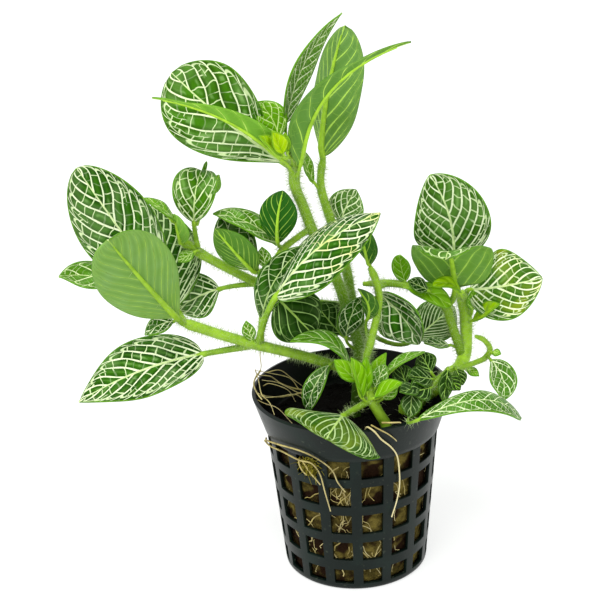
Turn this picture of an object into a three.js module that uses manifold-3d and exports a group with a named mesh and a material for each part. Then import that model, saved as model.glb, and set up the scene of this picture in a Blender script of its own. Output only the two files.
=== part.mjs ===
// A young white-veined nerve plant in a black net pot, at real size in mm, +Z up.
// The pot's axis is the z axis, and it stands on z = 0. The plant's front is towards -Y.
import * as THREE from "three";
import { mergeVertices } from "three/addons/utils/BufferGeometryUtils.js";
import Module from "manifold-3d";

// Net pot
const potHeight = 49.5;
const rimRadius = 26;
const bandBottom = { height: 40, radius: 23 };
const bandStep = 0.4;
const baseRadius = 19;
const footBevel = 0.6;
const lip = 0.35; // bevel round the top of the rim
const wall = 1;
const floorThickness = 1.4;
const potSides = 32;
const latticeReach = 15; // from the axis to the inner end of the cutters for the wall's openings
const columns = 16;
const firstColumn = 10.5; // degrees round from the front
const holeAngle = 15;
const holeRows = [
  { middle: 37.1, height: 5.8 },
  { middle: 28.8, height: 5.8 },
  { middle: 20.4, height: 5.8 },
  { middle: 12.1, height: 5.6 },
  { middle: 4.1, height: 4.4 },
];
const floorHoles = { count: 8, first: 21.75, angle: 30, rings: [[3.5, 8], [9.5, 16]] };

// Growing medium
const gap = 0.3;
const mediumEdge = 40.4; // height of the plug at the wall
const mediumTop = { height: 41.6, radius: 12 };
const footDepth = 30; // height of the foot of each stem, inside the plug
const footTop = 43;

// Foliage
const bladeThickness = 0.7;
const slimmestBlade = 0.6; // full width that is left at a blade's two ends
const tipRounding = 12; // a higher power rounds a shorter part of a blunt tip
const tipRounded = 0.98; // how far a blunt tip is rounded, of 1
const usualFold = 12; // degrees that each half rises from the midrib
const stalkShare = 0.045; // of the blade's width
const stalkRadius = { least: 0.42, most: 0.8 };
const stalkBend = 0.45; // how far the stalk keeps to the midrib's direction, as a share
const stalkRows = [0, 0.5]; // shares of the stalk's length
const evenRows = 0.65; // 1 spreads a blade's rows evenly, less draws them to its two ends
const smallBlade = 7.5; // a narrower blade has fewer rows
const rows = { small: 4, large: 7 };
const rootRadius = 0.42;
const sides = { hole: 16, foot: 10, stem: 8, branch: 6, root: 5 };
const stemSteps = 1.3; // rows for each point of a stem's line
const stemSink = 0.7; // how far the stem's curve starts below the top of its foot
const stemTaper = 0.95; // the stem's radius above its foot, as a share of the foot's
const rootSteps = 1.4;

// The picture that the plant's points are read in: 600 px square, px from its top left corner.
const picture = { middle: 300, halfAngle: 11, pitch: 22.06, roll: 2.61, eye: [-12.25, -364.7, 222.65] };

// Every point of a stem or leaf is [across, down, depth]: px across and down the picture, then
// mm behind the pot's axis. A foot is [x, y] in mm on the medium. face is the way that the
// blade's upper side looks. ends tells how pointed the base and the tip are: 0.5 is round.
// least is the width that a blade keeps up to its end.
const shoots = {
  leafy_stem_tall_left: {
    foot: [1, 0],
    radius: 1.5,
    stem: [
      [359, 352, 0], [354, 330, 1], [345, 302, 2], [337, 280, 1], [324, 255, 0], [313, 232, -1],
      [303, 206, -2], [295, 186, -3], [294, 166, -4], [290, 150, -5],
    ],
    branches: [
      {
        radius: 0.8,
        path: [[311, 228, -1], [298, 237, -2], [283, 249, -3], [274, 262, -4], [264, 270, -4]],
      },
      {
        radius: 1.15,
        path: [
          [346, 306, 3], [322, 304, 8], [300, 300, 7], [281, 293, 6], [262, 285, 5], [235, 272, 4],
          [205, 256, 2], [190, 246, 1], [181, 241, 0],
        ],
      },
    ],
    leaves: {
      topBig: {
        base: [286, 164, -3], mid: [203, 102, -1], tip: [172, 73, 2], stalk: [294, 180, -3],
        width: 22, face: [-0.2, -0.95, 0.4], fold: 8, widest: 0.68, ends: [1.2, 0.5],
      },
      topFolded: {
        base: [283, 160, -7], mid: [225, 119, -10], tip: [152, 98, -12], stalk: [294, 174, -4],
        width: 7.5, face: [0.36, 0.55, 0.75], fold: 55, widest: 0.25, ends: [0.6, 2.2], least: 1.2,
      },
      topYoung: {
        base: [279, 138, -4], mid: [271, 117, -2], tip: [258, 102, -1], stalk: [290, 152, -5],
        width: 8, face: [-0.1, -0.9, 0.4], fold: 14,
      },
      topBud: {
        base: [283, 154, -8], tip: [272, 131, -10], stalk: [291, 158, -5],
        width: 5.5, face: [0.1, -0.8, 0.6], fold: 40,
      },
      topNarrow: {
        base: [286, 124, -2], mid: [302, 68, 0], tip: [342, 13, 6], stalk: [290, 152, -5],
        width: 7.4, face: [0.66, -0.72, -0.2], fold: 10, widest: 0.4, ends: [0.6, 1.1],
      },
      topKeeled: {
        base: [300, 165, -6], mid: [322, 100, -8], tip: [411, 42, -8], stalk: [295, 178, -4],
        width: 9.6, face: [-0.6, 0.5, 0.62], fold: 45, widest: 0.27, ends: [0.6, 2.6], least: 2.2,
      },
      sideNarrow: {
        base: [277, 244, -2], mid: [246, 222, -3], tip: [213, 214, -4], stalk: [285, 248, -3],
        width: 8, face: [-0.2, -0.35, 0.9], fold: 10,
      },
      sideRound: {
        base: [278, 243, -5], mid: [278, 217, -7], tip: [283, 191, -5], stalk: [283, 249, -3],
        width: 9.5, face: [0.1, 0.93, -0.3], fold: 8, widest: 0.58, ends: [0.7, 0.6],
      },
      sideBack: {
        base: [258, 270, -4], mid: [233, 239, -3], tip: [223, 213, -2], stalk: [266, 269, -4],
        width: 10.5, face: [-0.1, -0.9, 0.4],
      },
      sideFront: {
        base: [256, 272, -3], mid: [236, 252, -6], tip: [216, 229, -7], stalk: [266, 270, -4],
        width: 10.5, face: [0.2, 0.85, 0.5], fold: 8, ends: [0.8, 0.6],
      },
      sideBud: {
        base: [266, 268, -4], tip: [262, 247, -4], stalk: [267, 271, -4],
        width: 4, face: [-0.2, -0.9, 0.4],
      },
      leftTop: {
        base: [194, 222, -2], mid: [195, 196, -3], tip: [201, 171, 3], stalk: [199, 252, 1.5],
        width: 12.6, face: [-0.05, -0.85, 0.5], fold: 30, widest: 0.62, ends: [0.8, 0.55],
      },
      leftTopCurl: {
        base: [208, 196, -1], tip: [219, 175, 1], stalk: [197, 225, -1],
        width: 3.8, face: [0.3, 0.9, 0.2], fold: 18,
      },
      leftDrooping: {
        base: [182, 243, -2], mid: [178, 229, -4], tip: [174, 214, -3], stalk: [184, 243, 0],
        width: 6, face: [0.7, 0.6, 0.3], fold: 25,
      },
      leftBud: {
        base: [194, 252, -1], tip: [178, 262, -3], stalk: [202, 254, 2],
        width: 4, face: [-0.2, -0.6, 0.75],
      },
      leftStrip: {
        base: [176, 222, -3], mid: [158, 206, -7], tip: [143, 198, -8], stalk: [182, 241, 0],
        width: 4, face: [0.3, -0.45, 0.85],
      },
      leftDark: {
        base: [219, 289, 4], mid: [198, 297, 4], tip: [178, 310, 3], stalk: [258, 284, 5],
        width: 13, face: [-0.1, -0.75, 0.65], ends: [0.6, 0.6],
      },
      middleVeined: {
        base: [346, 337, -3], mid: [351, 316, -4], tip: [361, 297, -3], stalk: [358, 350, 0],
        width: 7, face: [0.2, -0.9, 0.4],
      },
      middleDark: {
        base: [341, 334, 3], mid: [326, 317, 3], tip: [315, 302, 3], stalk: [356, 340, 1],
        width: 10.5, face: [-0.2, -0.8, 0.6], fold: 10,
      },
      topBudLeft: {
        base: [281, 156, -8], tip: [259, 136, -11], stalk: [291, 158, -5],
        width: 5, face: [0.3, -0.6, 0.8], fold: 35,
      },
      topBudRight: {
        base: [287, 152, -7], tip: [285, 133, -7], stalk: [291, 157, -5],
        width: 4, face: [-0.4, -0.8, 0.4], fold: 30,
      },
    },
  },
  leafy_stem_tall_right: {
    foot: [5, 7],
    radius: 1.4,
    stem: [
      [368, 350, 6], [362, 328, 7], [352, 300, 7], [347, 272, 6], [338, 240, 5], [330, 218, 4],
      [325, 203, 4], [321, 188, 4], [321, 172, 4], [323, 158, 4],
    ],
    branches: [],
    leaves: {
      topUnderside: {
        base: [323, 156, 4], mid: [330, 88, 5], tip: [345, 26, 8], stalk: [322, 168, 4],
        width: 17.4, face: [0.72, 0.65, 0.1], fold: 20, widest: 0.52, ends: [0.6, 0.45],
      },
      smallStrip: {
        base: [314, 182, 3], mid: [306, 165, 2], tip: [303, 150, 1], stalk: [321, 192, 4],
        width: 4, face: [0.5, -0.6, 0.6], fold: 20,
      },
      smallUpper: {
        base: [341, 221, 6], mid: [347, 205, 6], tip: [356, 190, 8], stalk: [333, 227, 4.5],
        width: 9.5, face: [0.1, -0.85, 0.5], widest: 0.45,
      },
      striped: {
        base: [417, 338, 9], mid: [435, 322, 12], tip: [454, 307, 15], stalk: [362, 328, 7],
        width: 12, face: [0.1, -0.75, 0.65], ends: [0.5, 0.7],
      },
    },
  },
  leafy_stem_front: {
    foot: [8, -17],
    radius: 1.5,
    stem: [
      [386, 425, -16], [379, 413, -16], [371, 398, -15], [366, 380, -13],
    ],
    branches: [
      {
        radius: 0.95,
        path: [
          [367, 384, -13.4], [366, 360, -11], [370, 345, -9], [376, 320, -6], [379, 298, -4],
          [376, 281, -3], [370, 267, -2],
        ],
      },
      {
        radius: 1.3,
        path: [
          [364, 378, -13], [350, 371, -11], [330, 364, -9], [300, 355, -7], [258, 345, -6],
          [225, 336, -7], [200, 328, -8], [182, 322, -9],
        ],
      },
    ],
    leaves: {
      leftUpperSide: {
        base: [166, 294, -6], mid: [123, 234, -5], tip: [77, 168, -2], stalk: [184, 322, -9],
        width: 20, face: [-0.2, -0.9, 0.4], fold: 8, widest: 0.56, ends: [0.7, 0.55],
      },
      leftBehind: {
        base: [176, 308, -3], mid: [168, 255, 6], tip: [152, 205, 10], stalk: [186, 323, -8.5],
        width: 17, face: [0.1, -0.92, 0.35], fold: 8,
      },
      leftUnderside: {
        base: [177, 318, -12], mid: [141, 279, -22], tip: [108, 240, -30], stalk: [184, 323, -9],
        width: 19.5, face: [-0.45, 0.84, 0.25], fold: 6, widest: 0.6, ends: [0.8, 0.4],
      },
      leftPointed: {
        base: [118, 284, -7], mid: [88, 276, -6], tip: [59, 277, -8], stalk: [182, 322, -9],
        width: 9, face: [0, -0.5, 0.85], fold: 8,
      },
      lowerLeft: {
        base: [203, 354, -8], mid: [141, 371, -13], tip: [79, 402, -16], stalk: [250, 346, -6],
        width: 17.5, face: [-0.1, -0.6, 0.8], fold: 10, widest: 0.43, ends: [0.48, 0.9],
      },
      lowerLeftSmall: {
        base: [174, 321, -11], mid: [158, 326, -13], tip: [145, 335, -14], stalk: [184, 323, -9],
        width: 5, face: [-0.2, -0.7, 0.65],
      },
      lowerLeftSprout: {
        base: [252, 341, -7], tip: [246, 321, -8], stalk: [254, 345, -6],
        width: 3.6, face: [-0.2, -0.9, 0.4],
      },
      middleBig: {
        base: [276, 296, -12], mid: [320, 247, -15], tip: [380, 213, -12], stalk: [258, 345, -6],
        width: 19, face: [-0.4, -0.42, 0.82], fold: -19, widest: 0.48, ends: [0.5, 0.75],
      },
      middleBehind: {
        base: [262, 320, -8], mid: [273, 284, -9], tip: [306, 246, -8], stalk: [259, 345, -6],
        width: 9, face: [-0.35, -0.85, 0.4], fold: 10,
      },
      middleUnder: {
        base: [278, 299, -9], mid: [293, 314, -10], tip: [313, 335, -11], stalk: [261, 340, -6.5],
        width: 15, face: [0.1, -0.8, 0.6], fold: 8, ends: [0.6, 0.6],
      },
      twigEnd: {
        base: [370, 265, -2], mid: [365, 245, -2], tip: [362, 226, 0], stalk: [371, 270, -2],
        width: 7, face: [0.6, 0.7, 0.3], fold: 14,
      },
      hangingStrip: {
        base: [330, 364, -11], mid: [315, 386, -13], tip: [308, 410, -12], stalk: [350, 371, -11],
        width: 5.5, face: [-0.4, -0.8, 0.4], fold: 14, ends: [0.8, 0.5],
      },
      tuftLeft: {
        base: [358, 382, -16], tip: [334, 360, -16], stalk: [366, 386, -14],
        width: 5, face: [0, -0.6, 0.8],
      },
      tuftRight: {
        base: [374, 398, -17], tip: [402, 383, -19], stalk: [370, 402, -15],
        width: 6, face: [-0.25, -0.3, 0.9], fold: 32,
      },
      tuftSmall: {
        base: [382, 399, -17], tip: [398, 386, -18], stalk: [373, 404, -16],
        width: 3.5, face: [-0.1, -0.9, 0.4],
      },
      middleLow: {
        base: [350, 368, -12], mid: [321, 339, -14], tip: [290, 342, -14], stalk: [365, 368, -12],
        width: 6.4, face: [-0.1, -0.3, 0.95],
      },
      overRim: {
        base: [343, 416, -23.5], mid: [334, 427, -31.5], tip: [326, 439, -35], stalk: [371, 400, -15],
        width: 27, face: [0.34, -0.16, 0.92], fold: -17, ends: [0.5, 0.5],
      },
      middleArched: {
        base: [367, 320, -5], mid: [368, 302, -7], tip: [358, 289, -5], stalk: [370, 345, -9],
        width: 5, face: [0.4, 0.8, 0.3], fold: 14,
      },
      tuftUpright: {
        base: [363, 398, -17], tip: [351, 358, -18], stalk: [371, 402, -15],
        width: 6.5, face: [0.6, -0.5, 0.6], fold: 30,
      },
      tuftBack: {
        base: [369, 388, -13], tip: [386, 353, -12], stalk: [370, 400, -15],
        width: 4.5, face: [-0.4, -0.7, 0.5], fold: 25,
      },
      tuftInner: {
        base: [367, 392, -16], tip: [366, 357, -16], stalk: [371, 402, -15],
        width: 4.5, face: [-0.3, -0.8, 0.4], fold: 30,
      },
      tuftVeined: {
        base: [375, 388, -15], tip: [385, 363, -14], stalk: [371, 400, -15],
        width: 4.5, face: [0, -0.8, 0.6],
      },
      brightStrip: {
        base: [384, 375, -13], mid: [402, 361, -11], tip: [425, 352, -8], stalk: [368, 388, -14],
        width: 4.5, face: [-0.3, -0.1, 0.95], fold: 14,
      },
    },
  },
  leafy_stem_right: {
    foot: [14, 1],
    radius: 1.8,
    stem: [
      [437, 388, -4], [448, 375, -1], [458, 368, 2], [464, 357, 5], [466, 342, 7],
      [466, 320, 9], [464, 304, 9], [461, 292, 8],
    ],
    branches: [
      {
        radius: 1.2,
        path: [
          [463, 357, 5], [457, 340, 6], [451, 322, 7], [446, 307, 6], [434, 296, 5],
        ],
      },
      {
        radius: 0.9,
        path: [
          [440, 300, 5.5], [422, 291, 4], [405, 285, 4], [385, 283, 5], [363, 284, 6],
        ],
      },
    ],
    leaves: {
      rightTop: {
        base: [453, 262, 14], mid: [448, 212, 12], tip: [430, 175, 12], stalk: [464, 304, 9],
        width: 20.5, face: [0, -0.95, 0.3], fold: 8, widest: 0.42, ends: [0.6, 0.62],
      },
      rightCup: {
        base: [455, 287, 3], mid: [449, 252, -6], tip: [446, 259, -13], stalk: [448, 305, 6.5],
        width: 21, face: [0.08, 0.55, 0.75], fold: 10, widest: 0.34, ends: [0.2, 0.42],
      },
      rightOuter: {
        base: [470, 290, 8], mid: [505, 286, 3], tip: [542, 278, 2], stalk: [464, 302, 9],
        width: 19.5, face: [0.1, -0.75, 0.65], fold: 8, ends: [0.6, 0.75],
      },
      rightYellow: {
        base: [473, 320, 5], mid: [487, 311, -1], tip: [500, 304, -5], stalk: [466, 322, 10],
        width: 5.4, face: [-0.2, -0.6, 0.75], fold: 20,
      },
      rightSprout: {
        base: [472, 311, 7], tip: [473, 290, 5], stalk: [466, 318, 10],
        width: 3.6, face: [0.1, -0.9, 0.4],
      },
      rightStrip: {
        base: [449, 345, 4], tip: [424, 343, 1], stalk: [460, 351, 6],
        width: 5, face: [0, -0.3, 0.95],
      },
      rightPale: {
        base: [405, 281, 4], mid: [401, 266, 3], tip: [400, 255, 1], stalk: [400, 284, 4.3],
        width: 5, face: [-0.15, -0.85, 0.5], fold: 14, ends: [0.5, 0.45],
      },
      rightSmall: {
        base: [428, 290, 0], tip: [408, 281, -1], stalk: [408, 286, 4],
        width: 4.5, face: [0, -0.7, 0.7],
      },
      rightEdge: {
        base: [408, 288, 3], mid: [430, 293, 2], tip: [450, 307, 2], stalk: [398, 284, 4.4],
        width: 5.4, face: [-0.1, -0.75, 0.62], fold: 18, ends: [0.5, 0.5],
      },
      rightHanging: {
        base: [379, 293, 2], mid: [398, 311, 1], tip: [419, 344, 0], stalk: [388, 283, 5],
        width: 14.5, face: [-0.4, -0.8, 0.12], fold: 33, ends: [0.5, 0.8],
      },
      rightHood: {
        base: [460, 292, 1], mid: [446, 283, -2], tip: [432, 286, -3], stalk: [461, 298, 8],
        width: 4.4, face: [0, -0.5, 0.85], fold: 14, ends: [0.5, 0.5],
      },
      rightBrown: {
        base: [466, 368, 2], tip: [479, 376, 0], stalk: [463, 362, 4.5],
        width: 2.8, face: [0, -0.5, 0.85],
      },
    },
  },
  leafy_stem_lower_right: {
    foot: [15, -8],
    radius: 0.8,
    stem: [
      [430, 390, -9], [442, 376, -7], [458, 369, -3], [474, 363, 0], [485, 358, 1], [490, 349, 1],
      [484, 340, 1], [475, 336, 1],
    ],
    branches: [],
    leaves: {
      lowHanging: {
        base: [491, 360, -1], mid: [502, 377, -3], tip: [503, 400, -6], stalk: [487, 356, 0.8],
        width: 7.8, face: [0.3, -0.85, 0.4], fold: 8, ends: [0.7, 0.7],
      },
      lowSprout: {
        base: [492, 352, 0], tip: [501, 354, -1], stalk: [489, 350, 1],
        width: 2.5, face: [0, -0.5, 0.8],
      },
      lowDrooping: {
        base: [417, 420, -24.6], mid: [478, 400, -25], tip: [521, 418, -17], stalk: [430, 392, -9],
        width: 6.4, face: [0, -0.5, 0.86], fold: -8, widest: 0.62, ends: [0.55, 0.42],
      },
      lowSmallA: {
        base: [456, 369, -6], tip: [463, 385, -8], stalk: [456, 370, -3.5],
        width: 4, face: [0.2, -0.8, 0.5],
      },
      lowSmallB: {
        base: [446, 376, -9], tip: [460, 390, -12], stalk: [441, 377, -7],
        width: 5, face: [0, -0.7, 0.7],
      },
      lowStriped: {
        base: [448, 369, -8], tip: [443, 402, -14], stalk: [444, 375, -7],
        width: 4, face: [0, -0.9, 0.3],
      },
      lowBroad: {
        base: [432, 379, -9], tip: [408, 376, -13], stalk: [435, 384, -8],
        width: 6.5, face: [0, -0.6, 0.8],
      },
      lowDark: {
        base: [430, 388, -12], tip: [410, 393, -17], stalk: [433, 387, -8.5],
        width: 7, face: [-0.2, -0.8, 0.6],
      },
      lowFront: {
        base: [412, 392, -15], tip: [410, 418, -20], stalk: [430, 391, -9],
        width: 5.5, face: [0, -0.9, 0.4],
      },
      lowBack: {
        base: [431, 372, -8], tip: [420, 352, -7], stalk: [438, 380, -7.7],
        width: 6, face: [0, -0.9, 0.4],
      },
      lowRadiant: {
        base: [418, 388, -14], tip: [400, 392, -19], stalk: [430, 391, -9],
        width: 5, face: [-0.1, -0.6, 0.8],
      },
      lowClump: {
        base: [406, 384, -12], tip: [399, 364, -9], stalk: [431, 390, -9],
        width: 5.5, face: [-0.2, -0.9, 0.4],
      },
    },
  },
};

// Roots outside the medium: [degrees round from the front, height, mm out from the wall], or
// [x, y, z] for those that lie loose inside the rim.
const onWallOut = gap + rootRadius;
const wallRoots = {
  root_front: [
    [
      [5, 44, -4.5], [6, 48, -2.6], [7, 50.4, -1.1], [10, 49.6, 0.5], [14, 47], [20, 44], [25, 40.3],
      [28, 35.5], [28.6, 31], [27.4, 26.6], [23.2, 21.9],
    ],
  ],
  root_front_short: [
    [[9.5, 50.6, -1.2], [13, 50.2, 0.4], [17, 48.6], [21.7, 46.3], [23.5, 45.2]],
  ],
  roots_left: [
    [
      [-86, 36.9], [-70, 39.4, 1.2], [-52, 41.5, 0.9], [-35, 42.2], [-23.7, 40.6], [-15.6, 37.5],
      [-12.2, 34], [-8, 31],
    ],
    [
      [-84, 36.5, 1.1], [-70, 37.6], [-52.3, 39.1, 0.9], [-37.4, 39, 1.1], [-28.7, 38.6],
      [-23.8, 35.8], [-21.3, 30.6], [-18.2, 25],
    ],
    [[-38, 39.3], [-38.5, 37.5], [-37, 35.6], [-33.5, 34.8]],
    [[-36, 39], [-31, 35.8], [-27.5, 34.2], [-24, 32.6]],
  ],
};
const looseRoots = {
  roots_inside_left: [
    [[-11, 14, 42.6], [-15, 12.8, 44], [-18.4, 11.2, 46.4], [-21.2, 9.6, 49.2], [-24.2, 7.8, 50.6]],
    [[-11, 13.8, 42.8], [-15, 10.4, 43.2], [-19, 6, 44.6], [-22.4, 1.4, 47.6], [-24.2, -2.6, 50.3]],
    [[-23.6, 11, 50.4], [-24.9, 6.4, 50.4], [-25.2, 2, 50.4], [-24.4, -3, 50.3], [-23.4, -6.4, 50.3]],
  ],
  root_right: [
    [[6.6, -22.6, 50.3], [8.6, -23.4, 50.3], [10.6, -23.2, 50.3], [11.4, -22.9, 50.3]],
  ],
};

const wasm = await Module();
wasm.setup();

// Turns a closed geometry into a solid, with its faces pointing out.
function solidOf(geometry) {
  const plain = geometry.clone();
  plain.deleteAttribute("normal");
  plain.deleteAttribute("uv");
  const merged = mergeVertices(plain, 1e-4);
  const triVerts = new Uint32Array(merged.index.array);
  const build = () =>
    new wasm.Manifold(
      new wasm.Mesh({ numProp: 3, vertProperties: merged.attributes.position.array, triVerts }),
    );
  const made = build();
  if (made.volume() > 0) return made;
  for (let i = 0; i < triVerts.length; i += 3) {
    [triVerts[i + 1], triVerts[i + 2]] = [triVerts[i + 2], triVerts[i + 1]];
  }
  return build();
}

function geometryOf(solid) {
  const { numProp, vertProperties, triVerts } = solid.getMesh();
  const geometry = new THREE.BufferGeometry();
  const count = vertProperties.length / numProp;
  const positions = new Float32Array(count * 3);
  for (let i = 0; i < count; i++) {
    positions.set(vertProperties.subarray(i * numProp, i * numProp + 3), i * 3);
  }
  geometry.setAttribute("position", new THREE.BufferAttribute(positions, 3));
  geometry.setIndex(new THREE.BufferAttribute(new Uint32Array(triVerts), 1));
  geometry.computeVertexNormals();
  return geometry;
}

const joined = (solids) => solids.reduce((all, one) => all.add(one));

function lathe(profile, corners) {
  return new THREE.LatheGeometry(
    profile.map(([radius, height]) => new THREE.Vector2(radius, height)),
    corners,
  ).rotateX(Math.PI / 2);
}

// The wall's outer radius at a height, for the lattice and for the flared band above it.
function wallRadius(height) {
  const wallTop = bandBottom.radius - bandStep;
  if (height < bandBottom.height) {
    return baseRadius + ((wallTop - baseRadius) * height) / bandBottom.height;
  }
  const flare = (rimRadius - bandBottom.radius) / (potHeight - bandBottom.height);
  return bandBottom.radius + flare * (Math.min(height, potHeight) - bandBottom.height);
}

const onCircle = (angle, radius, height) => {
  const turn = THREE.MathUtils.degToRad(angle);
  return new THREE.Vector3(radius * Math.sin(turn), -radius * Math.cos(turn), height);
};

function potBody() {
  const wallTop = bandBottom.radius - bandStep;
  const outside = [
    [0, 0], [baseRadius - footBevel, 0], [baseRadius, footBevel], [wallTop, bandBottom.height - bandStep],
    [bandBottom.radius, bandBottom.height], [rimRadius, potHeight - lip], [rimRadius - lip, potHeight],
  ];
  const inside = [
    [rimRadius - wall, potHeight], [wallRadius(bandBottom.height) - wall - bandStep, bandBottom.height],
    [baseRadius - wall, floorThickness], [0, floorThickness],
  ];
  return solidOf(lathe([...outside, ...inside], potSides));
}

// A wedge between two radii and two heights, with its other two sides along the pot's radii.
function wedgeCutter(middle, angle, [from, to], [bottom, top]) {
  const half = THREE.MathUtils.degToRad(angle / 2);
  const corners = [[from, -half], [to, -half], [to, half], [from, half]];
  const outline = new THREE.Shape(
    corners.map(([reach, turn]) => new THREE.Vector2(reach * Math.cos(turn), reach * Math.sin(turn))),
  );
  const cutter = new THREE.ExtrudeGeometry(outline, { depth: top - bottom, bevelEnabled: false });
  cutter.translate(0, 0, bottom);
  return solidOf(cutter.rotateZ(THREE.MathUtils.degToRad(middle - 90)));
}

function netPot() {
  const cutters = [];
  for (let column = 0; column < columns; column++) {
    const middle = firstColumn + (column * 360) / columns;
    for (const row of holeRows) {
      const heights = [row.middle - row.height / 2, row.middle + row.height / 2];
      cutters.push(wedgeCutter(middle, holeAngle, [latticeReach, rimRadius], heights));
    }
  }
  for (let index = 0; index < floorHoles.count; index++) {
    const middle = floorHoles.first + (index * 360) / floorHoles.count;
    for (const ring of floorHoles.rings) {
      cutters.push(wedgeCutter(middle, floorHoles.angle, ring, [-floorThickness, 2 * floorThickness]));
    }
  }
  return potBody().subtract(joined(cutters));
}

// The plug of medium, with a plain hole for each stem.
function growingMedium() {
  const clear = wall + gap;
  const plug = lathe(
    [
      [0, floorThickness + gap], [wallRadius(0) - clear, floorThickness + gap],
      [wallRadius(bandBottom.height - 1) - clear - gap, mediumEdge],
      [mediumTop.radius, mediumTop.height], [0, mediumTop.height],
    ],
    potSides,
  );
  const holes = Object.values(shoots).map(({ foot, radius }) => {
    const depth = footTop - footDepth;
    const hole = new THREE.CylinderGeometry(radius + gap, radius + gap, depth, sides.hole);
    hole.rotateX(Math.PI / 2).translate(foot[0], foot[1], footDepth - gap + depth / 2);
    return solidOf(hole);
  });
  return solidOf(plug).subtract(joined(holes));
}

// Finds the place in mm of a point that is read in the picture.
function seen([across, down, depth]) {
  const pitch = THREE.MathUtils.degToRad(picture.pitch);
  const roll = THREE.MathUtils.degToRad(picture.roll);
  const focal = picture.middle / Math.tan(THREE.MathUtils.degToRad(picture.halfAngle));
  const forward = new THREE.Vector3(0, Math.cos(pitch), -Math.sin(pitch));
  const level = new THREE.Vector3(1, 0, 0);
  const steep = new THREE.Vector3(0, Math.sin(pitch), Math.cos(pitch));
  const right = level.clone().multiplyScalar(Math.cos(roll)).addScaledVector(steep, -Math.sin(roll));
  const up = steep.clone().multiplyScalar(Math.cos(roll)).addScaledVector(level, Math.sin(roll));
  const ray = forward
    .addScaledVector(right, (across - picture.middle) / focal)
    .addScaledVector(up, (picture.middle - down) / focal);
  const eye = new THREE.Vector3(...picture.eye);
  return eye.clone().addScaledVector(ray, (depth - eye.y) / ray.y);
}

function tube(points, radius, corners, steps) {
  const section = new THREE.Shape();
  for (let i = 0; i < corners; i++) {
    const turn = (2 * Math.PI * i) / corners;
    const place = [radius * Math.cos(turn), radius * Math.sin(turn)];
    if (i === 0) section.moveTo(...place);
    else section.lineTo(...place);
  }
  const path = new THREE.CatmullRomCurve3(points, false, "catmullrom", 0.5);
  return solidOf(new THREE.ExtrudeGeometry(section, { extrudePath: path, steps, bevelEnabled: false }));
}

// The midrib: a curve of the second degree from base to tip that passes the middle point.
function midribOf(leaf) {
  const base = seen(leaf.base);
  const tip = seen(leaf.tip);
  if (!leaf.mid) return new THREE.LineCurve3(base, tip);
  const mid = seen(leaf.mid);
  const share = base.distanceTo(mid) / (base.distanceTo(mid) + mid.distanceTo(tip));
  const control = mid
    .clone()
    .addScaledVector(base, -((1 - share) ** 2))
    .addScaledVector(tip, -(share ** 2))
    .divideScalar(2 * share * (1 - share));
  return new THREE.QuadraticBezierCurve3(base, control, tip);
}

// Half the blade's width at a share t of the way from base to tip.
function halfWidth({ width, widest = 0.5, ends = [0.8, 0.8], least = slimmestBlade }, t) {
  const rise = Math.sin((Math.PI / 2) * Math.min(t / widest, 1)) ** ends[0];
  const fall = Math.max(Math.cos((Math.PI / 2) * Math.max((t - widest) / (1 - widest), 0)), 0) ** ends[1];
  const end = Math.sqrt(1 - tipRounded * t ** tipRounding);
  return Math.max((width / 2) * rise * fall, (least / 2) * end, slimmestBlade / 2);
}

// The cross-sections of a blade, from base to tip. Each has its centre, the way that the upper
// side looks, the way to its right edge, its half width, its fold and its half thicknesses.
function bladeSections(leaf) {
  const midrib = midribOf(leaf);
  const face = new THREE.Vector3(...leaf.face);
  const count = leaf.width < smallBlade ? rows.small : rows.large;
  const sections = [];
  for (let i = 0; i <= count; i++) {
    const even = i / count;
    const t = evenRows * even + ((1 - evenRows) * (1 - Math.cos(Math.PI * even))) / 2;
    const tangent = midrib.getTangent(t).normalize();
    const normal = face.clone().addScaledVector(tangent, -face.dot(tangent)).normalize();
    sections.push({
      centre: midrib.getPoint(t),
      tangent,
      normal,
      side: tangent.clone().cross(normal),
      reach: halfWidth(leaf, t),
      fold: THREE.MathUtils.degToRad(leaf.fold ?? usualFold),
      middle: bladeThickness / 2,
      edge: bladeThickness / 2,
    });
  }
  return sections;
}

// The cross-sections of the leaf stalk, a six-sided rod that starts on the stem's axis and
// bends into the midrib.
function stalkSections(leaf, blade) {
  const start = seen(leaf.stalk);
  const bend = blade.centre
    .clone()
    .addScaledVector(blade.tangent, -stalkBend * start.distanceTo(blade.centre));
  const stalk = new THREE.QuadraticBezierCurve3(start, bend, blade.centre);
  const radius = THREE.MathUtils.clamp(leaf.width * stalkShare, stalkRadius.least, stalkRadius.most);
  return stalkRows.map((share) => {
    const turn = new THREE.Quaternion().setFromUnitVectors(
      blade.tangent,
      stalk.getTangent(share).normalize(),
    );
    return {
      centre: stalk.getPoint(share),
      normal: blade.normal.clone().applyQuaternion(turn),
      side: blade.side.clone().applyQuaternion(turn),
      reach: radius * Math.cos(Math.PI / 6),
      fold: 0,
      middle: radius,
      edge: radius / 2,
    };
  });
}

// Six points round a section: the upper and the lower one at the left edge, the middle and
// the right edge.
function pointsOf({ centre, normal, side, reach, fold, middle, edge }) {
  return [-1, 0, 1].flatMap((u) => {
    const place = centre
      .clone()
      .addScaledVector(side, reach * u * Math.cos(fold))
      .addScaledVector(normal, reach * Math.abs(u) * Math.sin(fold));
    const local = normal
      .clone()
      .multiplyScalar(Math.cos(u * fold))
      .addScaledVector(side, -Math.sin(u * fold));
    const half = u === 0 ? middle : edge;
    return [place.clone().addScaledVector(local, half), place.addScaledVector(local, -half)];
  });
}

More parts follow.
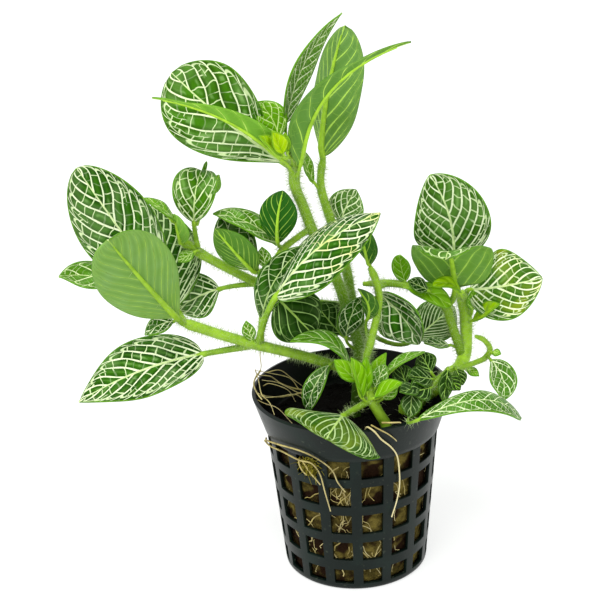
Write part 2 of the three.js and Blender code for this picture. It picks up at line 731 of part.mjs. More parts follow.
// A leaf with its stalk, split into the same triangles on both of its faces.
function leafSolid(leaf) {
  const blade = bladeSections(leaf);
  const sections = [...stalkSections(leaf, blade[0]), ...blade];
  const positions = sections.flatMap(pointsOf).flatMap((point) => point.toArray());
  const last = sections.length - 1;
  const at = (row, column, under) => 6 * row + 2 * column + under;
  const index = [];
  const quad = (a, b, c, d) => index.push(a, b, c, a, c, d);
  for (let i = 0; i < last; i++) {
    for (let j = 0; j < 2; j++) {
      quad(at(i, j, 0), at(i, j + 1, 0), at(i + 1, j + 1, 0), at(i + 1, j, 0));
      index.push(at(i, j, 1), at(i + 1, j + 1, 1), at(i, j + 1, 1));
      index.push(at(i, j, 1), at(i + 1, j, 1), at(i + 1, j + 1, 1));
    }
    quad(at(i, 0, 0), at(i + 1, 0, 0), at(i + 1, 0, 1), at(i, 0, 1));
    quad(at(i, 2, 0), at(i, 2, 1), at(i + 1, 2, 1), at(i + 1, 2, 0));
  }
  for (let j = 0; j < 2; j++) {
    quad(at(0, j, 0), at(0, j, 1), at(0, j + 1, 1), at(0, j + 1, 0));
    quad(at(last, j, 0), at(last, j + 1, 0), at(last, j + 1, 1), at(last, j, 1));
  }
  const geometry = new THREE.BufferGeometry();
  geometry.setAttribute("position", new THREE.Float32BufferAttribute(positions, 3));
  geometry.setIndex(index);
  return solidOf(geometry);
}

function leafyStem({ foot, radius, stem, branches, leaves }) {
  const footLength = footTop - footDepth;
  const shaft = new THREE.CylinderGeometry(radius, radius, footLength, sides.foot);
  shaft.rotateX(Math.PI / 2).translate(foot[0], foot[1], footDepth + footLength / 2);
  const line = [new THREE.Vector3(foot[0], foot[1], footTop - stemSink), ...stem.map(seen)];
  const steps = Math.round(stemSteps * line.length);
  const solids = [solidOf(shaft), tube(line, stemTaper * radius, sides.stem, steps)];
  for (const branch of branches) {
    const branchSteps = Math.round(stemSteps * branch.path.length);
    solids.push(tube(branch.path.map(seen), branch.radius, sides.branch, branchSteps));
  }
  for (const leaf of Object.values(leaves)) {
    solids.push(leafSolid(leaf));
  }
  return joined(solids);
}

function wallRoot(points) {
  const places = points.map(([angle, height, out = onWallOut]) =>
    onCircle(angle, wallRadius(height) + out, height),
  );
  return tube(places, rootRadius, sides.root, Math.round(rootSteps * points.length));
}

function looseRoot(points) {
  const places = points.map((point) => new THREE.Vector3(...point));
  return tube(places, rootRadius, sides.root, Math.round(rootSteps * points.length));
}

const materials = {
  pot: new THREE.MeshStandardMaterial({ color: 0x2f3c3c, roughness: 0.45, metalness: 0 }),
  medium: new THREE.MeshStandardMaterial({ color: 0x3b2a18, roughness: 0.95, metalness: 0 }),
  foliage: new THREE.MeshStandardMaterial({ color: 0x4f8a2c, roughness: 0.5, metalness: 0 }),
  root: new THREE.MeshStandardMaterial({ color: 0xc9b27a, roughness: 0.7, metalness: 0 }),
};

const plant = new THREE.Group();

function place(name, solid, material) {
  const mesh = new THREE.Mesh(geometryOf(solid), material);
  mesh.name = name;
  plant.add(mesh);
}

place("net_pot", netPot(), materials.pot);
place("growing_medium", growingMedium(), materials.medium);
for (const [name, shoot] of Object.entries(shoots)) {
  place(name, leafyStem(shoot), materials.foliage);
}
for (const [name, roots] of Object.entries(wallRoots)) {
  place(name, joined(roots.map(wallRoot)), materials.root);
}
for (const [name, roots] of Object.entries(looseRoots)) {
  place(name, joined(roots.map(looseRoot)), materials.root);
}

export default plant;
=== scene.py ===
# A young white-veined nerve plant in a black net pot. Sizes in the dictionaries are in mm.
import math
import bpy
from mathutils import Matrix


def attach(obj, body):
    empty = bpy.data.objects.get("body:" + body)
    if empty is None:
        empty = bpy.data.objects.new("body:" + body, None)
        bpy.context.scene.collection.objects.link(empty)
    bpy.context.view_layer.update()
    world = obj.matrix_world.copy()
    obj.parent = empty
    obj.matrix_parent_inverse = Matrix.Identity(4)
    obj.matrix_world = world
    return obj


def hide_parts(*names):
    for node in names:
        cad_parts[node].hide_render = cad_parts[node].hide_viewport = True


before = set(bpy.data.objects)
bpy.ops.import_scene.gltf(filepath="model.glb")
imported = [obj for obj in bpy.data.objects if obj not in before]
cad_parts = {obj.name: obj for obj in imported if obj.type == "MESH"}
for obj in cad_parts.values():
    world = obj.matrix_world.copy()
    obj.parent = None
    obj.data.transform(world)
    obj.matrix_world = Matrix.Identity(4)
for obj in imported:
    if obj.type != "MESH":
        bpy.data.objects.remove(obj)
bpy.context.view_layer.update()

from types import SimpleNamespace

import bpy
import numpy as np
from mathutils import Matrix, Vector, noise

mm = 0.001
rng = np.random.default_rng(7)

# The view that the plant's points are read in: px of the 600 px picture, angles in degrees.
viewFit = {"middle": 300, "halfAngle": 11, "pitch": 22.06, "roll": 2.61, "eye": (-12.25, -364.7, 222.65)}

# A leaf's shape: fold in degrees, the share of its length at which it's widest, its least width, how
# pointed base and tip are, how far each half arches. Its look: pairs of side veins, young is bright and
# yellowish, how dark it is gives a darker colour with painted shade, and painted light below 0, plain
# has little net, gold is in the veins, blotch in patches.
usualLeaf = {
    "fold": 12, "widest": 0.5, "least": 0, "ends": (0.8, 0.8), "crown": 0.07, "pairs": None,
    "young": 0, "deep": 0, "plain": 0, "gold": 0, "blotch": 0,
}


def blade(midrib, stalk, width, face, **own):
    # points from base to tip, where its stalk leaves the stem, and the way that its upper side looks
    return SimpleNamespace(midrib=midrib, stalk=stalk, width=width, face=face, **{**usualLeaf, **own})


# Each point of a stem or leaf is px across, px down and mm behind the pot's axis. A foot is x and y in mm,
# slim is how thin a stem ends, tone how bright it is from foot to end, a branch is a radius and its points.
shoots = {
    "leafy_stem_tall_left": {
        "foot": (1, 0), "radius": 1.5, "slim": 0.88, "tone": (0.1, 0.6),
        "stem": [
            (359, 352, 0), (354, 330, 1), (345, 302, 2), (337, 280, 1), (324, 255, 0), (313, 232, -1),
            (303, 206, -2), (295, 186, -3), (294, 166, -4), (290, 150, -5),
        ],
        "branches": [
            (0.8, [(311, 228, -1), (298, 237, -2), (283, 249, -3), (274, 262, -4), (264, 270, -4)]),
            (1.15, [
                (346, 306, 3), (322, 304, 8), (300, 300, 7), (281, 293, 6), (262, 285, 5), (235, 272, 4),
                (205, 256, 2), (190, 246, 1), (181, 241, 0),
            ]),
        ],
    },
    "leafy_stem_tall_right": {
        "foot": (5, 7), "radius": 1.4, "slim": 0.62, "tone": (0.1, 0.6),
        "stem": [
            (368, 350, 6), (362, 328, 7), (352, 300, 7), (347, 272, 6), (338, 240, 5), (330, 218, 4),
            (325, 203, 4), (321, 188, 4), (321, 172, 4), (323, 158, 4),
        ],
        "branches": [],
    },
    "leafy_stem_front": {
        "foot": (8, -17), "radius": 1.5, "slim": 0.88, "tone": (0.5, 0.9),
        "stem": [
            (386, 425, -16), (379, 413, -16), (371, 398, -15), (366, 380, -13),
        ],
        "branches": [
            (0.95, [
                (367, 384, -13.4), (366, 360, -11), (370, 345, -9), (376, 320, -6), (379, 298, -4),
                (376, 281, -3), (370, 267, -2),
            ]),
            (1.3, [
                (364, 378, -13), (350, 371, -11), (330, 364, -9), (300, 355, -7), (258, 345, -6),
                (225, 336, -7), (200, 328, -8), (182, 322, -9),
            ]),
        ],
    },
    "leafy_stem_right": {
        "foot": (14, 1), "radius": 1.8, "slim": 0.88, "tone": (1, 1),
        "stem": [
            (437, 388, -4), (448, 375, -1), (458, 368, 2), (464, 357, 5), (466, 342, 7), (466, 320, 9),
            (464, 304, 9), (461, 292, 8),
        ],
        "branches": [
            (1.2, [(463, 357, 5), (457, 340, 6), (451, 322, 7), (446, 307, 6), (434, 296, 5)]),
            (0.9, [(440, 300, 5.5), (422, 291, 4), (405, 285, 4), (385, 283, 5), (363, 284, 6)]),
        ],
    },
    "leafy_stem_lower_right": {
        "foot": (15, -8), "radius": 0.8, "slim": 0.88, "tone": (0.5, 0.8),
        "stem": [
            (430, 390, -9), (442, 376, -7), (458, 369, -3), (474, 363, 0), (485, 358, 1), (490, 349, 1),
            (484, 340, 1), (475, 336, 1),
        ],
        "branches": [],
    },
}

leaves = {}
leaves["leafy_stem_tall_left"] = {
    "topBig": blade([(286, 164, -3), (203, 102, -1), (172, 73, 2)], (294, 180, -3), 22, (-0.2, -0.95, 0.4),
        fold=8, widest=0.68, ends=(1.2, 0.5), crown=0.05, young=0.1),
    "topFolded": blade([(283, 160, -7), (225, 119, -10), (152, 98, -12)], (294, 174, -4), 7.5,
        (0.36, 0.55, 0.75), fold=55, widest=0.25, least=1.2, ends=(0.6, 2.2), crown=0.06, young=0.75),
    "topYoung": blade([(279, 138, -4), (271, 117, -2), (258, 102, -1)], (290, 152, -5), 8,
        (-0.1, -0.9, 0.4), fold=14, young=0.7),
    "topBud": blade([(283, 154, -8), (272, 131, -10)], (291, 158, -5), 5.5, (0.1, -0.8, 0.6),
        fold=40, gold=1, plain=1, young=1),
    "topNarrow": blade([(286, 124, -2), (302, 68, 0), (342, 13, 6)], (290, 152, -5), 7.4,
        (0.66, -0.72, -0.2), fold=10, widest=0.4, ends=(0.6, 1.1), deep=-0.6, pairs=10),
    "topKeeled": blade([(300, 165, -6), (322, 100, -8), (411, 42, -8)], (295, 178, -4), 9.6,
        (-0.6, 0.5, 0.62), fold=45, widest=0.27, least=2.2, ends=(0.6, 2.6), deep=0.48, young=0.15),
    "sideNarrow": blade([(277, 244, -2), (246, 222, -3), (213, 214, -4)], (285, 248, -3), 8,
        (-0.2, -0.35, 0.9), fold=10, young=0.35),
    "sideRound": blade([(278, 243, -5), (278, 217, -7), (283, 191, -5)], (283, 249, -3), 9.5,
        (0.1, 0.93, -0.3), fold=8, widest=0.58, ends=(0.7, 0.6), deep=1, pairs=5, plain=0.8),
    "sideBack": blade([(258, 270, -3), (233, 239, -1), (223, 213, -2)], (266, 269, -4), 10.5,
        (-0.1, -0.9, 0.4)),
    "sideFront": blade([(256, 272, -3), (236, 252, -6), (216, 229, -7)], (266, 270, -4), 10.5,
        (0.2, 0.85, 0.5), fold=8, ends=(0.8, 0.6), deep=0.7, pairs=6.5, plain=0.6, young=0.2),
    "sideBud": blade([(266, 268, -4), (262, 247, -4)], (267, 271, -4), 4, (-0.2, -0.9, 0.4), young=0.4),
    "leftTop": blade([(194, 222, -2), (195, 196, -3), (201, 171, 3)], (199, 252, 1.5), 12.6,
        (-0.05, -0.85, 0.5), fold=30, widest=0.62, ends=(0.8, 0.55), young=0.2),
    "leftTopCurl": blade([(208, 196, -1), (219, 175, 1)], (197, 225, -1), 3.8, (0.3, 0.9, 0.2),
        fold=18, young=0.5),
    "leftDrooping": blade([(182, 243, -2), (178, 229, -4), (174, 214, -3)], (184, 243, 0), 6,
        (0.7, 0.6, 0.3), fold=25, young=0.5),
    "leftBud": blade([(194, 252, -1), (178, 262, -3)], (202, 254, 2), 4, (-0.2, -0.6, 0.75), young=0.6),
    "leftStrip": blade([(176, 222, -3), (158, 206, -7), (143, 198, -8)], (182, 241, 0), 4,
        (0.3, -0.45, 0.85), young=0.7),
    "leftDark": blade([(219, 289, 4), (198, 297, 4), (178, 310, 3)], (258, 284, 5), 13, (-0.1, -0.75, 0.65),
        ends=(0.6, 0.6)),
    "middleVeined": blade([(346, 337, -3), (351, 316, -4), (361, 297, -3)], (358, 350, 0), 7,
        (0.2, -0.9, 0.4), deep=0.35),
    "middleDark": blade([(341, 334, 3), (326, 317, 3), (315, 302, 3)], (356, 340, 1), 10.5,
        (-0.2, -0.8, 0.6), fold=10, deep=0.8, plain=0.3),
    "topBudLeft": blade([(281, 156, -8), (259, 136, -11)], (291, 158, -5), 5, (0.3, -0.6, 0.8),
        fold=35, gold=0.7, plain=0.8, young=1),
    "topBudRight": blade([(287, 152, -7), (285, 133, -7)], (291, 157, -5), 4, (-0.4, -0.8, 0.4),
        fold=30, gold=0.7, plain=0.8, young=1),
    "leftSpike": blade([(194, 205, 6), (206.5, 161.5, 5)], (197, 238, 3), 1.5, (0.2, -0.9, 0.4),
        fold=20, widest=0.3, least=1.2, ends=(0.8, 0.8), deep=-0.4, young=0.2),
}
leaves["leafy_stem_tall_right"] = {
    "topUnderside": blade([(323, 156, 4), (330, 88, 5), (345, 26, 8)], (322, 168, 4), 17.4,
        (0.72, 0.65, 0.1), fold=20, widest=0.52, ends=(0.6, 0.45), deep=0.4, pairs=7),
    "smallStrip": blade([(314, 182, 3), (306, 165, 2), (303, 150, 1)], (321, 192, 4), 4, (0.5, -0.6, 0.6),
        fold=20, young=0.6),
    "smallUpper": blade([(341, 221, 6), (347, 205, 6), (356, 190, 8)], (333, 227, 4.5), 9.5,
        (0.1, -0.85, 0.5), widest=0.45, young=0.1),
    "striped": blade([(417, 338, 9), (435, 322, 12), (454, 307, 15)], (362, 328, 7), 12, (0.1, -0.75, 0.65),
        ends=(0.5, 0.7), deep=0.3, pairs=8, plain=0.8),
}
leaves["leafy_stem_front"] = {
    "leftUpperSide": blade([(166, 294, -6), (123, 234, -5), (77, 168, -2)], (184, 322, -9), 20,
        (-0.2, -0.9, 0.4), fold=8, widest=0.56, ends=(0.7, 0.55), pairs=8.6),
    "leftBehind": blade([(176, 308, -3), (168, 255, 6), (152, 205, 10)], (186, 323, -8.5), 17,
        (0.1, -0.92, 0.35), fold=8, deep=0.3, pairs=8),
    "leftUnderside": blade([(177, 318, -12), (141, 279, -22), (108, 240, -30)], (184, 323, -9), 19.5,
        (-0.45, 0.84, 0.25), fold=6, widest=0.6, ends=(0.8, 0.4), pairs=8.6, plain=1),
    "leftPointed": blade([(118, 284, -7), (88, 276, -6), (59, 277, -8)], (182, 322, -9), 9, (0, -0.5, 0.85),
        fold=8, young=0.3),
    "lowerLeft": blade([(203, 354, -8), (141, 371, -13), (79, 402, -16)], (250, 346, -6), 17.5,
        (-0.1, -0.6, 0.8), fold=10, widest=0.43, ends=(0.48, 0.9), pairs=7.6),
    "lowerLeftSmall": blade([(174, 321, -11), (158, 326, -13), (145, 335, -14)], (184, 323, -9), 5,
        (-0.2, -0.7, 0.65)),
    "lowerLeftSprout": blade([(252, 341, -7), (246, 321, -8)], (254, 345, -6), 3.6, (-0.2, -0.9, 0.4),
        young=0.5),
    "middleBig": blade([(276, 296, -12), (320, 247, -15), (380, 213, -12)], (258, 345, -6), 19,
        (-0.4, -0.42, 0.82), fold=-19, widest=0.48, ends=(0.5, 0.75), gold=0.45, pairs=8),
    "middleBehind": blade([(262, 320, -8), (273, 284, -9), (306, 246, -8)], (259, 345, -6), 9,
        (-0.35, -0.85, 0.4), fold=10, deep=0.5),
    "middleUnder": blade([(278, 299, -9), (293, 314, -10), (313, 335, -11)], (261, 340, -6.5), 15,
        (0.1, -0.8, 0.6), fold=8, ends=(0.6, 0.6), deep=0.85, pairs=2.6, plain=0.9),
    "twigEnd": blade([(370, 265, -2), (365, 245, -2), (362, 226, 0)], (371, 270, -2), 7, (0.6, 0.7, 0.3),
        fold=14, deep=0.9),
    "hangingStrip": blade([(330, 364, -11), (315, 386, -13), (308, 410, -12)], (350, 371, -11), 5.5,
        (-0.4, -0.8, 0.4), fold=14, ends=(0.8, 0.5), deep=0.2),
    "tuftLeft": blade([(358, 382, -16), (334, 360, -16)], (366, 386, -14), 5, (0, -0.6, 0.8),
        gold=0.15, plain=0.9, young=0.9),
    "tuftRight": blade([(374, 398, -17), (402, 383, -19)], (370, 402, -15), 6, (-0.25, -0.3, 0.9),
        fold=32, gold=0.15, plain=0.9, young=0.95),
    "tuftSmall": blade([(382, 399, -17), (398, 386, -18)], (373, 404, -16), 3.5, (-0.1, -0.9, 0.4),
        young=0.6),
    "middleLow": blade([(350, 368, -12), (321, 339, -14), (290, 342, -14)], (365, 368, -12), 6.4,
        (-0.1, -0.3, 0.95), pairs=6, plain=0.9, young=0.35),
    "overRim": blade([(343, 416, -23.5), (334, 427, -31.5), (326, 439, -35)], (371, 400, -15), 27,
        (0.34, -0.16, 0.92), fold=-17, ends=(0.5, 0.5), blotch=0.45, deep=0.55, pairs=4, plain=0.6,
        young=0.15),
    "middleArched": blade([(367, 320, -5), (368, 302, -7), (358, 289, -5)], (370, 345, -9), 5,
        (0.4, 0.8, 0.3), fold=14, deep=0.8),
    "tuftUpright": blade([(363, 398, -17), (351, 358, -18)], (371, 402, -15), 6.5, (0.6, -0.5, 0.6),
        fold=30, gold=0.15, plain=0.9, young=0.95),
    "tuftBack": blade([(369, 388, -13), (386, 353, -12)], (370, 400, -15), 4.5, (-0.4, -0.7, 0.5),
        fold=25, gold=0.2, plain=0.6, young=0.85),
    "tuftInner": blade([(367, 392, -16), (366, 357, -16)], (371, 402, -15), 4.5, (-0.3, -0.8, 0.4),
        fold=30, gold=0.15, plain=0.9, young=0.95),
    "tuftVeined": blade([(375, 388, -15), (385, 363, -14)], (371, 400, -15), 4.5, (0, -0.8, 0.6),
        young=0.3),
    "brightStrip": blade([(384, 375, -13), (402, 361, -11), (425, 352, -8)], (368, 388, -14), 4.5,
        (-0.3, -0.1, 0.95), fold=14, young=0.5),
}
leaves["leafy_stem_right"] = {
    "rightTop": blade([(453, 262, 14), (448, 212, 12), (430, 175, 12)], (464, 304, 9), 20.5,
        (0, -0.95, 0.3), fold=8, widest=0.42, ends=(0.6, 0.62), deep=-0.2, pairs=6),
    "rightCup": blade([(455, 287, 3), (449, 252, -6), (446, 259, -13)], (448, 305, 6.5), 21,
        (0.08, 0.55, 0.75), fold=10, widest=0.34, ends=(0.2, 0.42), deep=0.12, young=0.3),
    "rightOuter": blade([(470, 290, 8), (505, 286, 3), (542, 278, 2)], (464, 302, 9), 19.5,
        (0.1, -0.75, 0.65), fold=8, ends=(0.6, 0.75), blotch=0.7, deep=-0.22, gold=0.22, pairs=5.4),
    "rightYellow": blade([(473, 320, 5), (487, 311, -1), (500, 304, -5)], (466, 322, 10), 5.4,
        (-0.2, -0.6, 0.75), fold=20, gold=0.7, plain=0.9, young=0.95),
    "rightSprout": blade([(472, 311, 7), (473, 290, 5)], (466, 318, 10), 3.6, (0.1, -0.9, 0.4), young=0.9),
    "rightStrip": blade([(449, 345, 4), (424, 343, 1)], (460, 351, 6), 5, (0, -0.3, 0.95), deep=0.3),
    "rightPale": blade([(405, 281, 4), (401, 266, 3), (400, 255, 1)], (400, 284, 4.3), 5,
        (-0.15, -0.85, 0.5), fold=14, ends=(0.5, 0.45), plain=0.8, young=0.7),
    "rightSmall": blade([(428, 290, 0), (408, 281, -1)], (408, 286, 4), 4.5, (0, -0.7, 0.7),
        deep=0.6, plain=0.6),
    "rightEdge": blade([(408, 288, 3), (430, 293, 2), (450, 307, 2)], (398, 284, 4.4), 5.4,
        (-0.1, -0.75, 0.62), fold=18, ends=(0.5, 0.5), gold=0.15, plain=1, young=0.8),
    "rightHanging": blade([(379, 293, 2), (398, 311, 1), (419, 344, 0)], (388, 283, 5), 14.5,
        (-0.4, -0.8, 0.12), fold=33, ends=(0.5, 0.8)),
    "rightHood": blade([(460, 292, 1), (446, 283, -2), (432, 286, -3)], (461, 298, 8), 4.4, (0, -0.5, 0.85),
        fold=14, ends=(0.5, 0.5), gold=0.6, plain=1, young=0.95),
    "rightBrown": blade([(466, 368, 2), (479, 376, 0)], (463, 362, 4.5), 2.8, (0, -0.5, 0.85),
        blotch=1, young=0.9),
}
leaves["leafy_stem_lower_right"] = {
    "lowHanging": blade([(491, 360, -1), (502, 377, -3), (503, 400, -6)], (487, 356, 0.8), 7.8,
        (0.3, -0.85, 0.4), fold=8, ends=(0.7, 0.7), deep=-0.35),
    "lowSprout": blade([(492, 352, 0), (501, 354, -1)], (489, 350, 1), 2.5, (0, -0.5, 0.8), young=0.9),
    "lowDrooping": blade([(417, 420, -24.6), (478, 400, -25), (521, 418, -17)], (430, 392, -9), 6.4,
        (0, -0.5, 0.86), fold=-8, widest=0.62, ends=(0.55, 0.42), deep=-0.2, pairs=8.5, young=0.1),
    "lowSmallA": blade([(456, 369, -6), (463, 385, -8)], (456, 370, -3.5), 4, (0.2, -0.8, 0.5),
        deep=0.9, plain=0.7),
    "lowSmallB": blade([(446, 376, -9), (460, 390, -12)], (441, 377, -7), 5, (0, -0.7, 0.7),
        deep=1, plain=0.7),
    "lowStriped": blade([(448, 369, -8), (443, 402, -14)], (444, 375, -7), 4, (0, -0.9, 0.3),
        deep=0.9, plain=0.9),
    "lowBroad": blade([(432, 379, -9), (408, 376, -13)], (435, 384, -8), 6.5, (0, -0.6, 0.8),
        deep=0.8, plain=0.8),
    "lowDark": blade([(430, 388, -12), (410, 393, -17)], (433, 387, -8.5), 7, (-0.2, -0.8, 0.6),
        deep=0.9, plain=0.8),
    "lowFront": blade([(412, 392, -15), (410, 418, -20)], (430, 391, -9), 5.5, (0, -0.9, 0.4),
        deep=0.7, plain=0.9),
    "lowBack": blade([(431, 372, -8), (420, 352, -7)], (438, 380, -7.7), 6, (0, -0.9, 0.4),
        deep=0.9, plain=0.6),
    "lowRadiant": blade([(418, 388, -14), (400, 392, -19)], (430, 391, -9), 5, (-0.1, -0.6, 0.8),
        deep=0.8, plain=0.9),
    "lowClump": blade([(406, 384, -12), (399, 364, -9)], (431, 390, -9), 5.5, (-0.2, -0.9, 0.4),
        deep=0.9, plain=0.8),
}


def say(stage):
    print("stage:", stage)


# Curves and places, in mm
def pictureAxes():
    pitch, roll = math.radians(viewFit["pitch"]), math.radians(viewFit["roll"])
    forward = np.array([0, math.cos(pitch), -math.sin(pitch)])
    steep = np.array([0, math.sin(pitch), math.cos(pitch)])
    level = np.array([1.0, 0, 0])
    right = math.cos(roll) * level - math.sin(roll) * steep
    up = math.cos(roll) * steep + math.sin(roll) * level
    return forward, right, up


def seen(point):
    forward, right, up = pictureAxes()
    middle, eye = viewFit["middle"], np.array(viewFit["eye"])
    focal = middle / math.tan(math.radians(viewFit["halfAngle"]))
    ray = forward + right * (point[0] - middle) / focal - up * (point[1] - middle) / focal
    return eye + ray * (point[2] - eye[1]) / ray[1]


def roundPot(radius, turn, height):
    # a point by its distance from the pot's axis, its turn from the front and its height
    return radius * math.sin(turn), -radius * math.cos(turn), height


def unit(vector):
    return vector / np.linalg.norm(vector, axis=-1, keepdims=True)


def smoothLine(points, each=6):
    points = np.array(points, float)
    padded = np.vstack([2 * points[0] - points[1], points, 2 * points[-1] - points[-2]])
    line = []
    for a, b, c, d in zip(padded[:-3], padded[1:-2], padded[2:-1], padded[3:]):
        for step in range(each):
            t = step / each
            cubic = (2 * a - 5 * b + 4 * c - d) * t**2 + (3 * b - a - 3 * c + d) * t**3
            line.append(0.5 * (2 * b + (c - a) * t + cubic))
    line.append(points[-1])
    return np.array(line)


def bezier(points, t):
    t = np.asarray(t, float)[..., None]
    a, b, c = points
    return (1 - t) ** 2 * a + 2 * t * (1 - t) * b + t**2 * c


def bezierSlope(points, t):
    t = np.asarray(t, float)[..., None]
    a, b, c = points
    return unit((1 - t) * (b - a) + t * (c - b))


def midribOf(leaf):
    # the Bezier points of a curve from base to tip, through the point between them if there is one
    base, *between, tip = [seen(point) for point in leaf.midrib]
    if not between:
        return base, (base + tip) / 2, tip
    mid = between[0]
    share = np.linalg.norm(base - mid) / (np.linalg.norm(base - mid) + np.linalg.norm(mid - tip))
    control = (mid - (1 - share) ** 2 * base - share**2 * tip) / (2 * share * (1 - share))
    return base, control, tip


# Node trees: a socket that takes part in Python expressions, and one way to add any node
class Wire:
    def __init__(self, graph, socket):
        self.graph, self.socket = graph, socket

    def math(self, operation, *others):
        return self.graph.node("ShaderNodeMath", {"operation": operation}, [self, *others])

    def __add__(self, other):
        return self.math("ADD", other)

    def __sub__(self, other):
        return self.math("SUBTRACT", other)

    def __mul__(self, other):
        return self.math("MULTIPLY", other)

    def __truediv__(self, other):
        return self.math("DIVIDE", other)

    def __rsub__(self, other):
        return self.graph.node("ShaderNodeMath", {"operation": "SUBTRACT"}, [other, self])

    def __rtruediv__(self, other):
        return self.graph.node("ShaderNodeMath", {"operation": "DIVIDE"}, [other, self])

    __radd__ = __add__
    __rmul__ = __mul__


class Graph:
    def __init__(self, tree):
        self.tree = tree

    def node(self, kind, settings=None, values=(), output=0):
        made = self.tree.nodes.new(kind)
        for name, value in (settings or {}).items():
            setattr(made, name, value)
        for key, value in values.items() if isinstance(values, dict) else enumerate(values):
            if isinstance(value, Wire):
                self.tree.links.new(value.socket, made.inputs[key])
            else:
                made.inputs[key].default_value = value
        return Wire(self, made.outputs[output])

    def also(self, wire, output):
        return Wire(self, wire.socket.node.outputs[output])

    def blend(self, factor, first, second):
        return self.node("ShaderNodeMix", {"data_type": "RGBA"}, {0: factor, 6: first, 7: second}, 2)

    def ease(self, value, low, high, start=0.0, end=1.0):
        ends = [value, low, high, start, end]
        return self.node("ShaderNodeMapRange", {"interpolation_type": "SMOOTHSTEP"}, ends)

    def split(self, vector):
        x = self.node("ShaderNodeSeparateXYZ", {}, [vector])
        return x, self.also(x, 1), self.also(x, 2)

    def join(self, x, y, z):
        return self.node("ShaderNodeCombineXYZ", {}, [x, y, z])

    def scaled(self, vector, scale):
        return self.node("ShaderNodeVectorMath", {"operation": "SCALE"}, {0: vector, "Scale": scale})

    def place(self):
        # where the shaded point is on its piece, in mm
        return self.scaled(self.node("ShaderNodeTexCoord", output="Object"), 1 / mm)

    def clouds(self, vector, size, detail=3.0, rough=0.55):
        values = {"Vector": vector, "Scale": 1 / size, "Detail": detail, "Roughness": rough}
        return self.node("ShaderNodeTexNoise", {}, values)

    def patches(self, vector, size, detail, low, high):
        # blots of a size, none where the clouds are below low and full where they are above high
        return self.ease(self.clouds(vector, size, detail), low, high)

    def painted(self, name, output="Fac"):
        # an attribute of the mesh, in a material
        return self.node("ShaderNodeAttribute", {"attribute_name": name}, output=output)

    def noted(self, name):
        # an attribute of the mesh, in a geometry tree
        return self.node("GeometryNodeInputNamedAttribute", {"data_type": "FLOAT"}, [name])

    def luck(self, number):
        # a value from 0 to 1 that stays the same for a number
        return self.node("ShaderNodeTexWhiteNoise", {"noise_dimensions": "1D"}, {"W": number})

    def anyOf(self, low, high, seed):
        values = {2: low, 3: high, "Seed": seed}
        return self.node("FunctionNodeRandomValue", {"data_type": "FLOAT"}, values, 1)

    def anyVector(self, low, high, seed):
        values = {0: low, 1: high, "Seed": seed}
        return self.node("FunctionNodeRandomValue", {"data_type": "FLOAT_VECTOR"}, values)

    def copies(self, points, shape, turn, scale=None):
        values = {"Points": points, "Instance": shape, "Rotation": turn}
        if scale:
            values["Scale"] = scale
        return self.node("GeometryNodeInstanceOnPoints", {}, values)


def ink(*colour):
    # sRGB numbers from 0 to 255 to Blender's linear colour
    linear = [c / 255 / 12.92 if c <= 10 else ((c / 255 + 0.055) / 1.055) ** 2.4 for c in colour]
    return (*linear, 1.0)


def newMaterial(name, **fixed):
    material = bpy.data.materials.new(name)
    material.use_nodes = True
    graph = Graph(material.node_tree)
    shader = material.node_tree.nodes["Principled BSDF"]
    for socket, value in fixed.items():
        shader.inputs[socket.replace("_", " ")].default_value = value
    return material, graph, shader


def feed(graph, shader, **wires):
    for socket, wire in wires.items():
        graph.tree.links.new(wire.socket, shader.inputs[socket.replace("_", " ")])


def relief(graph, height, distance):
    return graph.node("ShaderNodeBump", {}, {"Strength": 1.0, "Distance": distance * mm, "Height": height})


# One set of helpers for numpy arrays and for wires, so that relief and colour follow the same veins
def onBoth(operation, onArray, *others):
    return lambda x: x.math(operation, *others) if isinstance(x, Wire) else onArray(x)


squareRoot, sine, size = onBoth("SQRT", np.sqrt), onBoth("SINE", np.sin), onBoth("ABSOLUTE", np.abs)
fraction = onBoth("FRACT", lambda x: x - np.floor(x))
rightSide = onBoth("GREATER_THAN", lambda x: (x > 0).astype(float), 0.0)


def gate(x, low, high):
    share = (x - low) / (high - low)
    return share.math("MINIMUM", 1.0).math("MAXIMUM", 0.0) if isinstance(x, Wire) else np.clip(share, 0, 1)


# Side veins leave the midrib at an acute angle, and rungs join them square to their run. Lengths are mm.
veins = {
    "spacing": 6.4, "fewest": 3.2, "most": 7, "bend": 1.45, "curve": 0.5, "shift": 0.42, "wobble": 0.05,
    "wobbles": (0.8, 5, 2.1), "widen": (0.35, 0.6, 0.55), "rung": 2.6, "loop": 1.1, "sag": 0.9,
}


def veinRun(u, v, seed, reach, length, half, pairs):
    # mm to the nearest side vein, share of the way between two of them, their number, mm along them
    low, high, share = veins["widen"]
    often, own, across = veins["wobbles"]
    out, upper = size(u), gate(v, low, high)
    wide = half + (reach - half) * upper * share
    spread = wide * out * (veins["bend"] + veins["curve"] * out * out * out)
    wobble = sine(v * length * often + seed * own + u * across) * veins["wobble"]
    run = (v * length - spread) * pairs / length + rightSide(u) * veins["shift"] + wobble + seed
    slope = wide * (veins["bend"] + 4 * veins["curve"] * out * out * out) / reach
    steep = squareRoot(slope * slope + 1)
    between = fraction(run)
    near = (0.5 - size(between - 0.5)) * length / pairs / steep
    along = squareRoot(spread * spread + out * out * reach * reach)
    along = along + between * length / pairs * slope / steep
    return near, between, run - between, along


# Objects
def added(name, data):
    made = bpy.data.objects.new(name, data)
    bpy.context.scene.collection.objects.link(made)
    return made


def newMesh(name, points, faces, edges=()):
    mesh = bpy.data.meshes.new(name)
    mesh.from_pydata((np.array(points) * mm).tolist(), edges, faces)
    return added(name, mesh)


